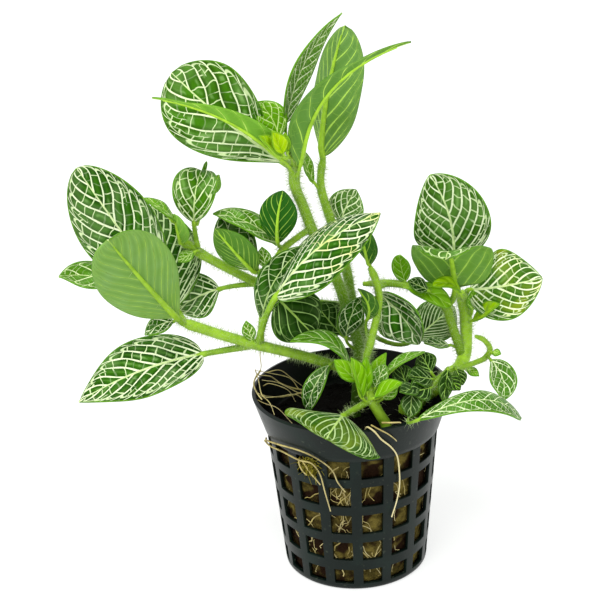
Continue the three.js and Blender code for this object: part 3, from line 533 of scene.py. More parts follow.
def note(piece, name, values):
    # a number or a vector for each vertex
    values = np.asarray(values, float)
    kind = "FLOAT" if values.ndim == 1 else "FLOAT_VECTOR"
    attribute = piece.data.attributes.new(name, kind, "POINT")
    attribute.data.foreach_set("value" if values.ndim == 1 else "vector", values.ravel())


def settled(piece, name):
    # the piece with its modifiers worked out, as a plain mesh object
    graph = bpy.context.evaluated_depsgraph_get()
    made = added(name, bpy.data.meshes.new_from_object(piece.evaluated_get(graph), depsgraph=graph))
    bpy.data.objects.remove(piece)
    made.data.name = name
    return made


def grown(piece, tree, name, **inputs):
    # the piece after a Geometry Nodes tree, whose inputs are set by their identifiers
    modifier = piece.modifiers.new("grow", "NODES")
    modifier.node_group = tree
    names = {item.name: item.identifier for item in tree.interface.items_tree if item.in_out == "INPUT"}
    for key, value in inputs.items():
        modifier[names[key]] = value
    return settled(piece, name)


def finish(piece, slot, *nodes):
    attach(piece, "root")
    if nodes:
        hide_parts(*nodes)


# Camera, floor and light
stageLook = {
    "floor": 4000, "paper": (0.36, 0.37, 0.36, 1), "glow": 0.66, "clip": (0.01, 20), "white": (1, 1, 1, 1),
    "sun": 2.3, "sunSize": 40, "aim": (0.2, 0.5, -1), "sky": 0.86, "backdrop": 1.1,
}


def setCamera():
    forward, right, up = pictureAxes()
    camera = bpy.data.cameras.new("camera")
    camera.sensor_fit = "HORIZONTAL"
    camera.angle = math.radians(2 * viewFit["halfAngle"])
    camera.clip_start, camera.clip_end = stageLook["clip"]
    eye = added("camera", camera)
    turn = Matrix((right, up, -forward)).transposed().to_4x4()
    eye.matrix_world = Matrix.Translation(Vector(viewFit["eye"]) * mm) @ turn
    bpy.context.scene.camera = eye
    bpy.context.scene.view_settings.view_transform = "Standard"


def setStage():
    setCamera()
    # the sky is brighter behind the plant than in its light
    world = bpy.data.worlds.new("studio")
    world.use_nodes = True
    graph = Graph(world.node_tree)
    behind = graph.node("ShaderNodeLightPath", output="Is Camera Ray")
    ends = {"To Min": stageLook["sky"], "To Max": stageLook["backdrop"]}
    bright = graph.node("ShaderNodeMapRange", {}, {"Value": behind, **ends})
    back = world.node_tree.nodes["Background"]
    back.inputs["Color"].default_value = stageLook["white"]
    graph.tree.links.new(bright.socket, back.inputs["Strength"])
    bpy.context.scene.world = world

    half = stageLook["floor"] / 2
    floor = newMesh(
        "floor", [(-half, -half, 0), (half, -half, 0), (half, half, 0), (-half, half, 0)], [(0, 1, 2, 3)]
    )
    paper, _, _ = newMaterial(
        "paper", Base_Color=stageLook["paper"], Roughness=0.9, Specular_IOR_Level=0.1,
        Emission_Color=stageLook["white"], Emission_Strength=stageLook["glow"],
    )
    floor.data.materials.append(paper)

    light = bpy.data.lights.new("window", "SUN")
    light.energy, light.angle = stageLook["sun"], math.radians(stageLook["sunSize"])
    added("window", light).rotation_euler = Vector(stageLook["aim"]).to_track_quat("-Z", "Y").to_euler()


# Geometry trees
def newTree(name, sockets):
    tree = bpy.data.node_groups.new(name, "GeometryNodeTree")
    tree.interface.new_socket(name="Geometry", in_out="INPUT", socket_type="NodeSocketGeometry")
    for socket, kind in sockets.items():
        tree.interface.new_socket(name=socket, in_out="INPUT", socket_type="NodeSocket" + kind)
    tree.interface.new_socket(name="Geometry", in_out="OUTPUT", socket_type="NodeSocketGeometry")
    graph = Graph(tree)
    start = tree.nodes.new("NodeGroupInput")
    return tree, graph, {socket.name: Wire(graph, socket) for socket in start.outputs if socket.name}


def endTree(graph, geometry, material):
    joined = graph.node("GeometryNodeRealizeInstances", {}, [geometry])
    smooth = graph.node("GeometryNodeSetShadeSmooth", {}, [joined])
    dressed = graph.node("GeometryNodeSetMaterial", {}, {0: smooth, "Material": material})
    end = graph.tree.nodes.new("NodeGroupOutput")
    graph.tree.links.new(dressed.socket, end.inputs[0])


def makeFollowTree():
    # a round rod along each line of edges, as thick as the line's girth
    tree, graph, ins = newTree("rodAlongLine", {"Sides": "Int", "Material": "Material"})
    line = graph.node("GeometryNodeMeshToCurve", {}, [ins["Geometry"]])
    circle = {"Resolution": ins["Sides"], "Radius": 1.0}
    ring = graph.node("GeometryNodeCurvePrimitiveCircle", {"mode": "RADIUS"}, circle)
    rod = graph.node("GeometryNodeCurveToMesh", {}, [line, ring, graph.noted("girth"), True])
    endTree(graph, rod, ins["Material"])
    return tree


def makeHairTree():
    # fine hairs that stand out from a surface, most where it is hairy
    tree, graph, ins = newTree("hairsOnSurface", {
        "Density": "Float", "Length": "Float", "Width": "Float", "Lean": "Float", "Seed": "Int",
        "Material": "Material",
    })
    seed, density = ins["Seed"], ins["Density"] * graph.noted("hairiness")
    spread = {"Mesh": ins["Geometry"], "Density": density, "Seed": seed}
    points = graph.node("GeometryNodeDistributePointsOnFaces", {"distribute_method": "RANDOM"}, spread)
    stray = graph.anyVector(graph.join(-1.0, -1.0, -1.0), graph.join(1.0, 1.0, 1.0), seed)
    lean = graph.scaled(stray, ins["Lean"])
    aim = graph.node("ShaderNodeVectorMath", {"operation": "ADD"}, [graph.also(points, 1), lean])
    turn = graph.node("FunctionNodeAlignRotationToVector", {"axis": "Z"}, {"Vector": aim})
    cone = {"Vertices": 3, "Side Segments": 1, "Radius Top": 0.0, "Radius Bottom": ins["Width"]}
    hair = graph.node("GeometryNodeMeshCone", {"fill_type": "NONE"}, {**cone, "Depth": ins["Length"]})
    tall = graph.anyOf(*hairLook["tall"], seed + 3)
    endTree(graph, graph.copies(points, hair, turn, graph.join(1.0, 1.0, tall)), ins["Material"])
    return tree


def makeCrumbTree():
    # rough crumbs strewn over a surface
    tree, graph, ins = newTree("crumbsOnSurface", {
        "Density": "Float", "Smallest": "Float", "Largest": "Float", "Seed": "Int", "Material": "Material",
    })
    seed = ins["Seed"]
    spread = {"Mesh": ins["Geometry"], "Density": ins["Density"], "Seed": seed}
    points = graph.node("GeometryNodeDistributePointsOnFaces", {}, spread)
    crumb = graph.node("GeometryNodeMeshIcoSphere", {}, [1.0, 1])
    spin = graph.anyVector((0, 0, 0), (6.28, 6.28, 6.28), seed)
    wide = graph.anyOf(ins["Smallest"], ins["Largest"], seed + 1)
    shape = graph.join(wide, wide * crumbLook["narrow"], wide * graph.anyOf(*crumbLook["flat"], seed + 2))
    crumbs = graph.copies(points, crumb, spin, shape)
    endTree(graph, crumbs, ins["Material"])
    return tree


def makeRingTree():
    # copies of one sector, turned round the pot's axis and welded
    tree, graph, ins = newTree("sectorsRoundAxis", {"Count": "Int", "First": "Float", "Material": "Material"})
    spots = graph.node("GeometryNodeMeshLine", {}, {"Count": ins["Count"], "Offset": (0, 0, 0)})
    index = graph.node("GeometryNodeInputIndex")
    angles = graph.join(0.0, 0.0, index * math.tau / ins["Count"] + ins["First"])
    turn = graph.node("FunctionNodeEulerToRotation", {}, [angles])
    joined = graph.node("GeometryNodeRealizeInstances", {}, [graph.copies(spots, ins["Geometry"], turn)])
    welded = graph.node("GeometryNodeMergeByDistance", {}, {0: joined, "Distance": 0.02 * mm})
    endTree(graph, welded, ins["Material"])
    return tree


# Leaf blades
bladeLook = {
    "thickness": 0.42, "thinEdge": 0.45, "tipWidth": 0.16, "large": (46, 26), "small": (24, 14),
    "smallWidth": 7.5, "quilt": 0.17, "quiltFrom": 8, "groove": 0.16, "furrow": 0.45, "keel": 0.063,
    "wave": 0.035, "waves": 1.9, "waveTurn": 6.28, "waveSkew": 1.3, "tipRounded": 0.98, "tipPower": 12,
}


def halfWidth(leaf, t, least):
    # from the midrib to the edge, at shares t of the blade's length
    widest, (base, tip) = leaf.widest, leaf.ends
    rise = np.sin(np.pi / 2 * np.minimum(t / widest, 1)) ** base
    fall = np.maximum(np.cos(np.pi / 2 * np.maximum((t - widest) / (1 - widest), 0)), 0) ** tip
    blunt = leaf.least / 2 * np.sqrt(1 - bladeLook["tipRounded"] * t ** bladeLook["tipPower"])
    return np.maximum(np.maximum(leaf.width / 2 * rise * fall, blunt), least)


def bladeFrame(leaf, curve, t):
    along = bezierSlope(curve, t)
    face = np.array(leaf.face, float)
    normal = unit(face - (along @ face)[..., None] * along)
    return bezier(curve, t), along, normal, np.cross(along, normal)


def bladeRise(leaf, u, v, reach, near, seed):
    # how far the blade stands off its flat: the fold, arched halves, a waved edge, sunken veins
    out, half = np.abs(u), leaf.width / 2
    quilt = bladeLook["quilt"] * (1 - 0.5 * leaf.young) * min(half / bladeLook["quiltFrom"], 1)
    rise = math.sin(math.radians(leaf.fold)) * (np.sqrt(out**2 + 0.004) - bladeLook["keel"]) * reach
    rise = rise + leaf.crown * reach * (out - out**2) * 2
    ripple = np.sin(bladeLook["waveTurn"] * (bladeLook["waves"] * v + seed) + bladeLook["waveSkew"] * u)
    rise = rise + bladeLook["wave"] * half * out**2 * ripple
    sunk = np.exp(-((near / bladeLook["furrow"]) ** 2))
    rise = rise - quilt * sunk * np.sin(np.pi * np.minimum(v * 1.05, 1)) * (1 - out**4)
    return rise - bladeLook["groove"] * np.exp(-((u * reach / bladeLook["furrow"]) ** 2)) * (1 - v)


def bladeFaces(rows, columns):
    # the faces of the upper side, of the under side, and round the edge between them
    count = (rows + 1) * (columns + 1)
    top = np.arange(count).reshape(rows + 1, columns + 1)
    a, b, c, d = top[:-1, :-1], top[:-1, 1:], top[1:, 1:], top[1:, :-1]
    upper = np.stack([a, b, c, d], -1).reshape(-1, 4)
    lower = np.stack([a, d, c, b], -1).reshape(-1, 4) + count
    edge = np.concatenate([top[0, :-1], top[:-1, -1], top[-1, :0:-1], top[:0:-1, 0]])
    following = np.roll(edge, -1)
    return upper, lower, np.stack([edge, edge + count, following + count, following], -1)


def bladeSheet(leaf, seed):
    rows, columns = bladeLook["small" if leaf.width < bladeLook["smallWidth"] else "large"]
    even = np.linspace(0, 1, rows + 1)
    t = 0.65 * even + 0.175 * (1 - np.cos(np.pi * even))  # closer rows at base and tip
    curve = midribOf(leaf)
    centre, _, normal, side = bladeFrame(leaf, curve, t)
    length = np.linalg.norm(np.diff(bezier(curve, np.linspace(0, 1, 40)), axis=0), axis=1).sum()
    half = leaf.width / 2
    reach = halfWidth(leaf, t, bladeLook["tipWidth"] / 2)[:, None]
    u = np.linspace(-1, 1, columns + 1)[None, :]  # across the blade, 0 at the midrib
    v = t[:, None] + 0 * u  # along it, from 0 at the base to 1 at the tip
    pairs = leaf.pairs or np.clip(length / veins["spacing"], veins["fewest"], veins["most"])
    near = veinRun(u + 0 * v, v, seed, reach, length, half, pairs)[0]
    rise = bladeRise(leaf, u, v, reach, near, seed)[..., None]
    across = (u * reach * math.cos(math.radians(leaf.fold)))[..., None]
    sheet = centre[:, None] + side[:, None] * across + normal[:, None] * rise
    facing = unit(np.cross(np.gradient(sheet, axis=1), np.gradient(sheet, axis=0)))
    thick = (bladeLook["thickness"] / 2 * (1 - bladeLook["thinEdge"] * np.abs(u) ** 6) + 0 * v)[..., None]
    points = np.concatenate([(sheet + way * thick).reshape(-1, 3) for way in (facing, -facing)])
    facts = {
        "leafPlace": (u, v, seed), "leafSize": (reach, length, half),
        "leafStyle": (pairs, leaf.young, leaf.blotch), "leafShade": (leaf.deep, leaf.plain, leaf.gold),
    }
    flat = 0 * (u + v)
    facts = {key: np.stack([flat + value for value in values], -1) for key, values in facts.items()}
    facts = {key: np.concatenate([values.reshape(-1, 3)] * 2) for key, values in facts.items()}
    return points, bladeFaces(rows, columns), facts


def bladePiece(name, shootLeaves, materials):
    points, faces, slots, facts, start = [], [], [], {}, 0
    for key, leaf in shootLeaves.items():
        seed = (sum(map(ord, key)) * 0.137) % 1  # a leaf's own number, from its name
        place, groups, told = bladeSheet(leaf, seed)
        for slot, group in zip((0, 1, 0), groups):
            faces.append(group + start)
            slots += [slot] * len(group)
        points.append(place)
        start += len(place)
        for fact, values in told.items():
            facts.setdefault(fact, []).append(values)
    piece = newMesh(name, np.concatenate(points), np.concatenate(faces).tolist())
    for material in materials:
        piece.data.materials.append(material)
    piece.data.polygons.foreach_set("material_index", slots)
    piece.data.polygons.foreach_set("use_smooth", [True] * len(slots))
    for fact, values in facts.items():
        note(piece, fact, np.concatenate(values))
    return piece


# Leaf materials
# sheen is the colour of painted highlights; shade is painted shade and lit is painted light on whole leaves
upperLook = {
    "dark": ink(10, 54, 0), "mid": ink(52, 114, 8), "sheen": ink(138, 180, 104), "young": ink(112, 176, 6),
    "fresh": ink(176, 214, 8), "shade": ink(5, 34, 0), "lit": ink(108, 160, 52), "yellow": ink(150, 168, 14),
    "border": ink(100, 154, 34), "vein": ink(236, 248, 206), "veinYoung": ink(184, 222, 60),
    "veinDarkAndShaded": ink(116, 162, 58), "veinGold": ink(232, 226, 92), "veinNet": ink(178, 214, 122),
    "gloss": (0.75, 1, 0.35, 1), "relief": 0.3, "margin": 0.3,
    "patch": (6, 2, 0.35, 0.68), "shine": (3.2, 1, 0.54, 0.68), "glare": (11, 1, 0.5, 0.6),
    "yellowed": (5.5, 1, 0.46, 0.64), "gilded": (6, 1, 0.44, 0.56),
    "side": 0.28, "rung": 0.145, "thread": 0.09, "loop": 0.18, "midrib": 0.46, "ribTaper": 0.75,
}
underLook = {
    "pale": ink(122, 168, 54), "grey": ink(138, 180, 104), "deep": ink(26, 86, 0), "young": ink(112, 176, 8),
    "vein": ink(180, 222, 94), "veinDarkAndShaded": ink(174, 218, 82), "relief": 0.2, "side": 0.25, "midrib": 0.38,
    "ribTaper": 0.6,
}


def leafFacts(graph):
    # what the blade's attributes tell here: near, along, off and edge are distances in mm, and each side
    # vein of a leaf has a number of its own
    u, v, seed = graph.split(graph.painted("leafPlace", "Vector"))
    reach, length, half = graph.split(graph.painted("leafSize", "Vector"))
    pairs, young, blotch = graph.split(graph.painted("leafStyle", "Vector"))
    deep, plain, gold = graph.split(graph.painted("leafShade", "Vector"))
    near, between, number, along = veinRun(u, v, seed, reach, length, half, pairs)
    return SimpleNamespace(
        v=v, length=length, reach=reach, pairs=pairs, near=near, between=between, along=along,
        number=whole(number) + rightSide(u) * 31 + whole(seed * 57) * 8,
        out=size(u), off=size(u) * reach, edge=(1 - size(u)) * reach,
        small=(half / 8).math("MINIMUM", 1.0).math("MAXIMUM", 0.4),
        young=young, blotch=blotch, deep=deep, plain=plain, gold=gold,
    )


def whole(wire):
    # the nearest whole number, so that noise gives one value for it everywhere
    return (wire + 0.5).math("FLOOR")


def stroke(graph, away, wide):
    return 1 - graph.ease(away, wide * 0.65, wide * 1.35)


# The net between side veins: fork is where, how often and in how wide a gap the gap is split in two
netLook = {
    "shakeSize": 2.4, "sideShake": 0.24, "threadShake": 0.3, "rungShake": 1.6, "skew": 0.9, "halfRung": 0.45,
    "forkOut": (0.52, 0.56), "forkShare": (0.62, 0.64), "forkGap": (1.1, 1.3), "gapScale": 2.4,
    "thinOut": 0.45, "thinTip": 0.45, "thinPlain": 0.3, "fewRungs": 0.42, "moreOut": (0.2, 0.6, 0.0, 0.34),
}


def veinLines(graph, leaf, look):
    # how strong the side veins and the net between them are here, from 0 to 1
    net, middle = netLook, leaf.between - 0.5
    shake = graph.clouds(graph.place(), net["shakeSize"], 0.5) - 0.5
    wave = shake * net["threadShake"]
    lot = graph.luck(leaf.number)
    gap = leaf.length / leaf.pairs / net["gapScale"]
    forked = graph.ease(leaf.out, *net["forkOut"]) * graph.ease(lot, *net["forkShare"])
    forked = forked * graph.ease(gap, *net["forkGap"])
    half = (leaf.between + wave).math("GREATER_THAN", 0.5) * forked
    # rungs stand side by side along the veins, each with luck of its own
    steps = (leaf.along + shake * net["rungShake"]) / (leaf.small * veins["rung"]) + lot * 7
    steps = steps + (lot - 0.5) * middle * net["skew"] + half * net["halfRung"]
    luck = graph.luck(steps.math("FLOOR") + leaf.number * 16 + half * 7)
    rungs = size(fraction(steps) - 0.5) * leaf.small * veins["rung"]
    few = net["fewRungs"] - graph.ease(leaf.out, *net["moreOut"])
    rung = stroke(graph, rungs, leaf.small * look["rung"]) * graph.ease(luck - few, 0.0, 0.1, 0.15, 0.9)
    # a thread splits a forked gap
    thread = stroke(graph, size(middle + wave) * gap, leaf.small * look["thread"])
    thread = thread * forked * graph.ease(luck, 0.2, 0.24) * 0.9
    # loops join the side veins near the edge
    bow = middle * middle * 4 * veins["sag"] + veins["loop"]
    past = leaf.edge - bow * (leaf.reach / 7).math("MINIMUM", 1.0)
    outside = 1 - graph.ease(past, -0.1, 0.1)
    loop = stroke(graph, size(past), leaf.small * look["loop"]) * 0.85 * (1 - leaf.plain * 0.5)
    thin = (1 - leaf.out * net["thinOut"]) * (1 - leaf.v * leaf.v * net["thinTip"]) * (1 - outside * 0.5)
    thin = thin * leaf.small * (1 - leaf.plain * net["thinPlain"])
    side = stroke(graph, leaf.near + shake * net["sideShake"], thin * look["side"])
    lines = rung.math("MAXIMUM", thread) * (1 - leaf.plain) * (1 - outside * 0.8)
    return side, lines.math("MAXIMUM", loop)


def midribLine(graph, leaf, look):
    return stroke(graph, leaf.off, (1 - leaf.v * look["ribTaper"]) * leaf.small * look["midrib"])


def upperPanel(graph, leaf, spot, grain, inside):
    # the green between the veins, with painted highlights and painted shade
    look = upperLook
    patch = graph.patches(spot, *look["patch"])
    # lighter in the middle of each panel and darker towards the sunken veins: painted shade in the creases
    centre = graph.ease(leaf.near, 0.2, 1.3)
    # shine and glare are spots of painted highlight
    shine = graph.patches(spot, *look["shine"]) * 0.5 * graph.ease(leaf.near, 0.5, 1.2)
    shine = shine + graph.patches(spot, *look["glare"]) * 0.22
    outer = graph.ease(leaf.out, 0.2, 0.8, 0.35, 1.0)
    yellow = graph.patches(spot, *look["yellowed"]) * outer * leaf.blotch
    panel = graph.blend(centre * 0.45 + patch * 0.45 + grain * 0.1, look["dark"], look["mid"])
    for share, colour in (
        (shine, "sheen"), (leaf.young, "young"), (leaf.young * leaf.gold, "fresh"),
        # painted shade on dark leaves, and painted light where the darkness is below 0
        (leaf.deep * 0.9, "shade"), (leaf.deep * -1.0, "lit"), (yellow * 0.75, "yellow"),
        ((1 - inside) * 0.8 * (1 - leaf.deep * 0.8), "border"),
    ):
        panel = graph.blend(share, panel, look[colour])
    return panel


def makeBladeUpper():
    look = upperLook
    material, graph, shader = newMaterial("bladeUpper", Specular_IOR_Level=0.2, Specular_Tint=look["gloss"])
    leaf, spot = leafFacts(graph), graph.place()
    side, net = veinLines(graph, leaf, look)
    midrib = midribLine(graph, leaf, look)
    inside = graph.ease(leaf.edge, look["margin"] * 0.6, look["margin"] * 1.4)
    lines = (side.math("MAXIMUM", net) * inside).math("MAXIMUM", midrib)
    lines = lines * (1 - leaf.plain * leaf.young * 0.6)
    grain = graph.clouds(spot, 0.8, 3.0)
    panel = upperPanel(graph, leaf, spot, grain, inside)
    pale = graph.blend(leaf.young * 0.8, look["vein"], look["veinYoung"])
    tint = graph.patches(spot, *look["gilded"]) * graph.ease(leaf.v, 0.4, 0.55)
    # veins of dark leaves take a darker colour with painted shade
    for share, colour in (
        (leaf.deep, "veinDarkAndShaded"), ((net - side) * 0.45 * (1 - leaf.deep), "veinNet"),
        (tint * leaf.gold, "veinGold"), (midrib * 0.35, "veinYoung"),
    ):
        pale = graph.blend(share, pale, look[colour])
    height = graph.ease(leaf.near, 0.0, 1.1) - net * 0.35 + grain * 0.15
    colour, gloss = graph.blend(lines, panel, pale), lines * 0.12 + 0.34 + grain * 0.1
    feed(graph, shader, Base_Color=colour, Roughness=gloss, Normal=relief(graph, height, look["relief"]))
    return material


def makeBladeUnder():
    look = underLook
    material, graph, shader = newMaterial("bladeUnder", Roughness=0.55, Specular_IOR_Level=0.15)
    leaf, spot = leafFacts(graph), graph.place()
    side, net = veinLines(graph, leaf, {**upperLook, **look})
    lines = side.math("MAXIMUM", midribLine(graph, leaf, look)).math("MAXIMUM", net * 0.16)
    panel = graph.blend(graph.clouds(spot, 5.0, 2.0), look["pale"], look["grey"])
    # a darker underside colour with painted shade on dark leaves, and darker away from the veins: painted
    # shade in the hollows between them
    panel = graph.blend(leaf.deep, panel, look["deep"])
    panel = graph.blend(leaf.young * 0.9, panel, look["young"])
    panel = graph.blend(graph.ease(leaf.near, 0.1, 0.9, 0.0, 0.25), panel, look["deep"])
    pale = graph.blend(leaf.deep * 0.7, look["vein"], look["veinDarkAndShaded"])
    colour = graph.blend(lines * (0.85 - leaf.plain * 0.35), panel, pale)
    height = lines * 0.9 + graph.clouds(spot, 0.3, 2.0) * 0.2
    feed(graph, shader, Base_Color=colour, Normal=relief(graph, height, look["relief"]))
    return material


# Stems and leaf stalks
# lowest is painted shade on the stems, full at the first height in low and gone at the second, less on bright
# stems
stemLook = {
    "sides": 14, "swell": 0.1, "swellLength": 1.6, "footTop": 43, "sink": 0.7, "footDepth": 38, "taper": 0.95,
    "waist": 0.95, "tip": (1, 0.6, 4), "hairFrom": 51, "hairRise": 14, "leastHair": 0.04, "branchHair": 0.8,
    "branchTone": (0.5, 0.8), "dull": ink(100, 146, 14), "bright": ink(174, 218, 54),
    "dark": ink(76, 124, 6), "lowest": ink(30, 62, 4), "low": (43, 80), "streak": (2.5, 3, 0.35, 0.75),
    "relief": 0.08,
}
stalkLook = {
    "share": 0.045, "least": 0.36, "most": 0.75, "foot": 1.25, "bend": 0.45, "points": 8, "hair": 0.34,
    "ribEnd": 0.93, "ribPoints": 14, "ribTaper": 0.75, "ribLeast": 0.1, "sunk": 0.75, "under": 0.12,
    "sinks": 0.07, "ribHair": 0.1,
}
hairLook = {
    "perMm2": 4.5, "length": 1.8, "tall": (0.45, 1.15), "width": 0.045, "lean": 0.45,
    "dull": ink(138, 174, 84), "bright": ink(214, 230, 172),
}


class Lines:
    # lines of edges with numbers for each point, to be thickened by the follow tree
    def __init__(self):
        self.points, self.edges = [], []
        self.facts = {"girth": [], "hairiness": [], "tone": []}

    def add(self, line, girth, hairiness=0.0, tone=0.0):
        start = len(self.points)
        self.points += list(line)
        self.edges += [(start + k, start + k + 1) for k in range(len(line) - 1)]
        for fact, values in zip(self.facts.values(), (girth, hairiness, tone)):
            fact.extend(np.broadcast_to(values, len(line)))

    def rods(self, name, tree, sides, material):
        piece = newMesh(name, self.points, [], self.edges)
        for fact, values in self.facts.items():
            note(piece, fact, np.array(values) * (mm if fact == "girth" else 1))
        return grown(piece, tree, name, Sides=sides, Material=material)


def stalkLine(leaf):
    # the free stalk and the rib under the blade, as one line
    curve = midribOf(leaf)
    start, base = seen(leaf.stalk), curve[0]
    bend = base - bezierSlope(curve, 0.0) * stalkLook["bend"] * np.linalg.norm(start - base)
    radius = float(np.clip(leaf.width * stalkLook["share"], stalkLook["least"], stalkLook["most"]))
    free = bezier((start, bend, base), np.linspace(0, 1, stalkLook["points"] + 1)[:-1])
    t = np.linspace(0, stalkLook["ribEnd"], stalkLook["ribPoints"])
    centre, _, normal, _ = bladeFrame(leaf, curve, t)
    thin = radius * (1 - t) ** stalkLook["ribTaper"] + stalkLook["ribLeast"]
    below = (stalkLook["under"] + stalkLook["sunk"] * thin) * np.minimum(t / stalkLook["sinks"], 1)
    rib = centre - normal * (below + bladeLook["groove"] * (1 - t))[:, None]
    girth = np.concatenate([np.linspace(stalkLook["foot"], 1, len(free)) * radius, thin])
    hairs = np.concatenate([np.full(len(free), stalkLook["hair"]), stalkLook["ribHair"] * (1 - t)])
    tone = np.repeat([0.5 + 0.4 * leaf.young, 0.75 + 0.25 * leaf.young], [len(free), len(t)])
    return np.concatenate([free, rib]), girth, hairs, tone


def swollen(line, radius, joints):
    # the stem's radius along the line, with a swelling where each leaf stalk leaves it
    girth = np.full(len(line), float(radius))
    for joint in joints:
        away = np.linalg.norm(line - joint, axis=1)
        swell = 1 + stemLook["swell"] * np.exp(-((away / stemLook["swellLength"]) ** 2))
        girth = np.maximum(girth, radius * swell)
    return girth


def stemPiece(node, tree, material):
    lines, shoot = Lines(), shoots[node]
    joints = [seen(leaf.stalk) for leaf in leaves[node].values()]
    tip = np.linspace(*stemLook["tip"])
    soil = (*shoot["foot"], stemLook["footTop"] - stemLook["sink"])
    line = smoothLine([soil, *[seen(point) for point in shoot["stem"]]])
    line = np.vstack([(*shoot["foot"], stemLook["footDepth"]), line])
    girth = swollen(line, shoot["radius"] * stemLook["taper"], joints)
    girth *= np.interp(np.linspace(0, 1, len(line)), (0, 0.5, 1), (1, stemLook["waist"], shoot["slim"]))
    girth[-len(tip):] *= tip
    hairs = np.clip((line[:, 2] - stemLook["hairFrom"]) / stemLook["hairRise"], stemLook["leastHair"], 1)
    lines.add(line, girth, hairs, np.linspace(*shoot["tone"], len(line)))
    for radius, path in shoot["branches"]:
        line = smoothLine([seen(point) for point in path])
        girth = swollen(line, radius, joints)
        girth[-len(tip):] *= tip
        lines.add(line, girth, stemLook["branchHair"], np.linspace(*stemLook["branchTone"], len(line)))
    for leaf in leaves[node].values():
        lines.add(*stalkLine(leaf))
    return lines.rods(node.replace("leafy_stem", "stems"), tree, stemLook["sides"], material)


def makeStemSkin():
    look = stemLook
    material, graph, shader = newMaterial("stemSkin", Roughness=0.45, Specular_IOR_Level=0.3)
    tone, spot = graph.painted("tone"), graph.place()
    colour = graph.blend(tone, look["dull"], look["bright"])
    colour = graph.blend(graph.patches(spot, *look["streak"]) * 0.45, colour, look["dark"])
    height = graph.split(spot)[2]
    # painted shade low on the stems, less where a stem is bright
    low = graph.ease(height, *look["low"], 0.9, 0.0) * (1 - tone * 0.9)
    colour = graph.blend(low, colour, look["lowest"])
    grain = graph.clouds(spot, 0.4, 2.0)
    feed(graph, shader, Base_Color=colour, Normal=relief(graph, grain, look["relief"]))
    return material


def makeHairSkin():
    material, graph, shader = newMaterial("hairSkin", Roughness=0.5, Specular_IOR_Level=0.2)
    share = graph.clouds(graph.place(), 1.5, 1.0)
    feed(graph, shader, Base_Color=graph.blend(share, hairLook["dull"], hairLook["bright"]))
    return material


def makeFoliage(followTree, hairTree):
    blades = [makeBladeUpper(), makeBladeUnder()]
    stemSkin, hairSkin = makeStemSkin(), makeHairSkin()
    for seed, node in enumerate(shoots):
        name = node.replace("leafy_stem_", "")
        finish(bladePiece("blades_" + name, leaves[node], blades), "foliage", node)
        stems = stemPiece(node, followTree, stemSkin)
        hairs = grown(
            added("coat", stems.data.copy()), hairTree, "hairs_" + name, Density=hairLook["perMm2"] / mm**2,
            Length=hairLook["length"] * mm, Width=hairLook["width"] * mm, Lean=hairLook["lean"], Seed=seed,
            Material=hairSkin,
        )
        finish(stems, "foliage", node)
        finish(hairs, "foliage")
        say(name)


# Net pot: the band is a height and the radius from which it flares, rows are heights of openings
# inside is the near-black of painted shade on the pot's inside face
potLook = {
    "height": 49.5, "rim": 26, "band": (40, 23), "step": 0.4, "lip": 0.45, "base": 19, "foot": 0.6,
    "wall": 1.0, "bevel": 0.16, "sharp": 38, "sectors": 8, "columns": 12, "stepAngle": 3.75, "first": -0.75,
    "rows": ((1.9, 6.3), (9.3, 14.9), (17.5, 23.3), (25.9, 31.7), (34.2, 40.0)), "firstRing": 1.3,
    "bandRings": (41.2, 43.5, 46, 48.3), "floorHoles": ((3.5, 8), (9.5, 16)), "floorMargin": 1.6,
    "black": ink(8, 20, 16), "worn": ink(22, 40, 34), "inside": ink(1, 2, 1), "dusty": ink(96, 104, 84),
    "wear": (9, 4, 0.45, 0.75), "dust": (1.2, 4, 0.62, 0.74), "innerWall": (0.6, 0.9), "relief": 0.03,
}


def wallRadius(height):
    (bandLow, bandRadius), base, top = potLook["band"], potLook["base"], potLook["height"]
    if height < bandLow:
        return base + (bandRadius - potLook["step"] - base) * height / bandLow
    return bandRadius + (potLook["rim"] - bandRadius) * (min(height, top) - bandLow) / (top - bandLow)


def potProfile():
    # radius and height from the middle of the floor to the rim
    base, margin, (bandLow, bandRadius) = potLook["base"], potLook["floorMargin"], potLook["band"]
    rings = [radius for ring in potLook["floorHoles"] for radius in ring]
    flat = (0.0, margin, *rings, base - margin, base - potLook["foot"])
    levels = [potLook["firstRing"], *[z for row in potLook["rows"] for z in row if z < bandLow]]
    under = bandLow - potLook["lip"]
    wall = [(wallRadius(z), z) for z in (*levels, under)]
    band = [(wallRadius(z), z) for z in (*potLook["bandRings"], potLook["height"])]
    return [*[(radius, 0.0) for radius in flat], (base, potLook["foot"]), *wall, (bandRadius, bandLow), *band]


def isOpening(r0, z0, r1, z1, step):
    # in the floor one opening to a sector and ring, in the wall two openings to a sector and row
    if z0 == z1 == 0:
        middle = (r0 + r1) / 2
        return 2 <= step <= 9 and any(low < middle < high for low, high in potLook["floorHoles"])
    middle, top = (z0 + z1) / 2, potLook["band"][0] - potLook["lip"]
    inRow = any(low < middle < high for low, high in potLook["rows"])
    return middle < top and 1 <= step % 6 <= 4 and inRow


def potSector():
    # the outer skin of one eighth of the pot, with its openings left out
    profile, columns = potProfile(), potLook["columns"]
    angles = np.radians(np.arange(columns + 1) * potLook["stepAngle"])
    points = [roundPot(r, a, z) for r, z in profile for a in angles]
    faces = []
    for ring, ((r0, z0), (r1, z1)) in enumerate(zip(profile, profile[1:])):
        for step in range(columns):
            if not isOpening(r0, z0, r1, z1, step):
                a = ring * (columns + 1) + step
                faces.append((a, a + 1, a + columns + 2, a + columns + 1))
    return points, faces


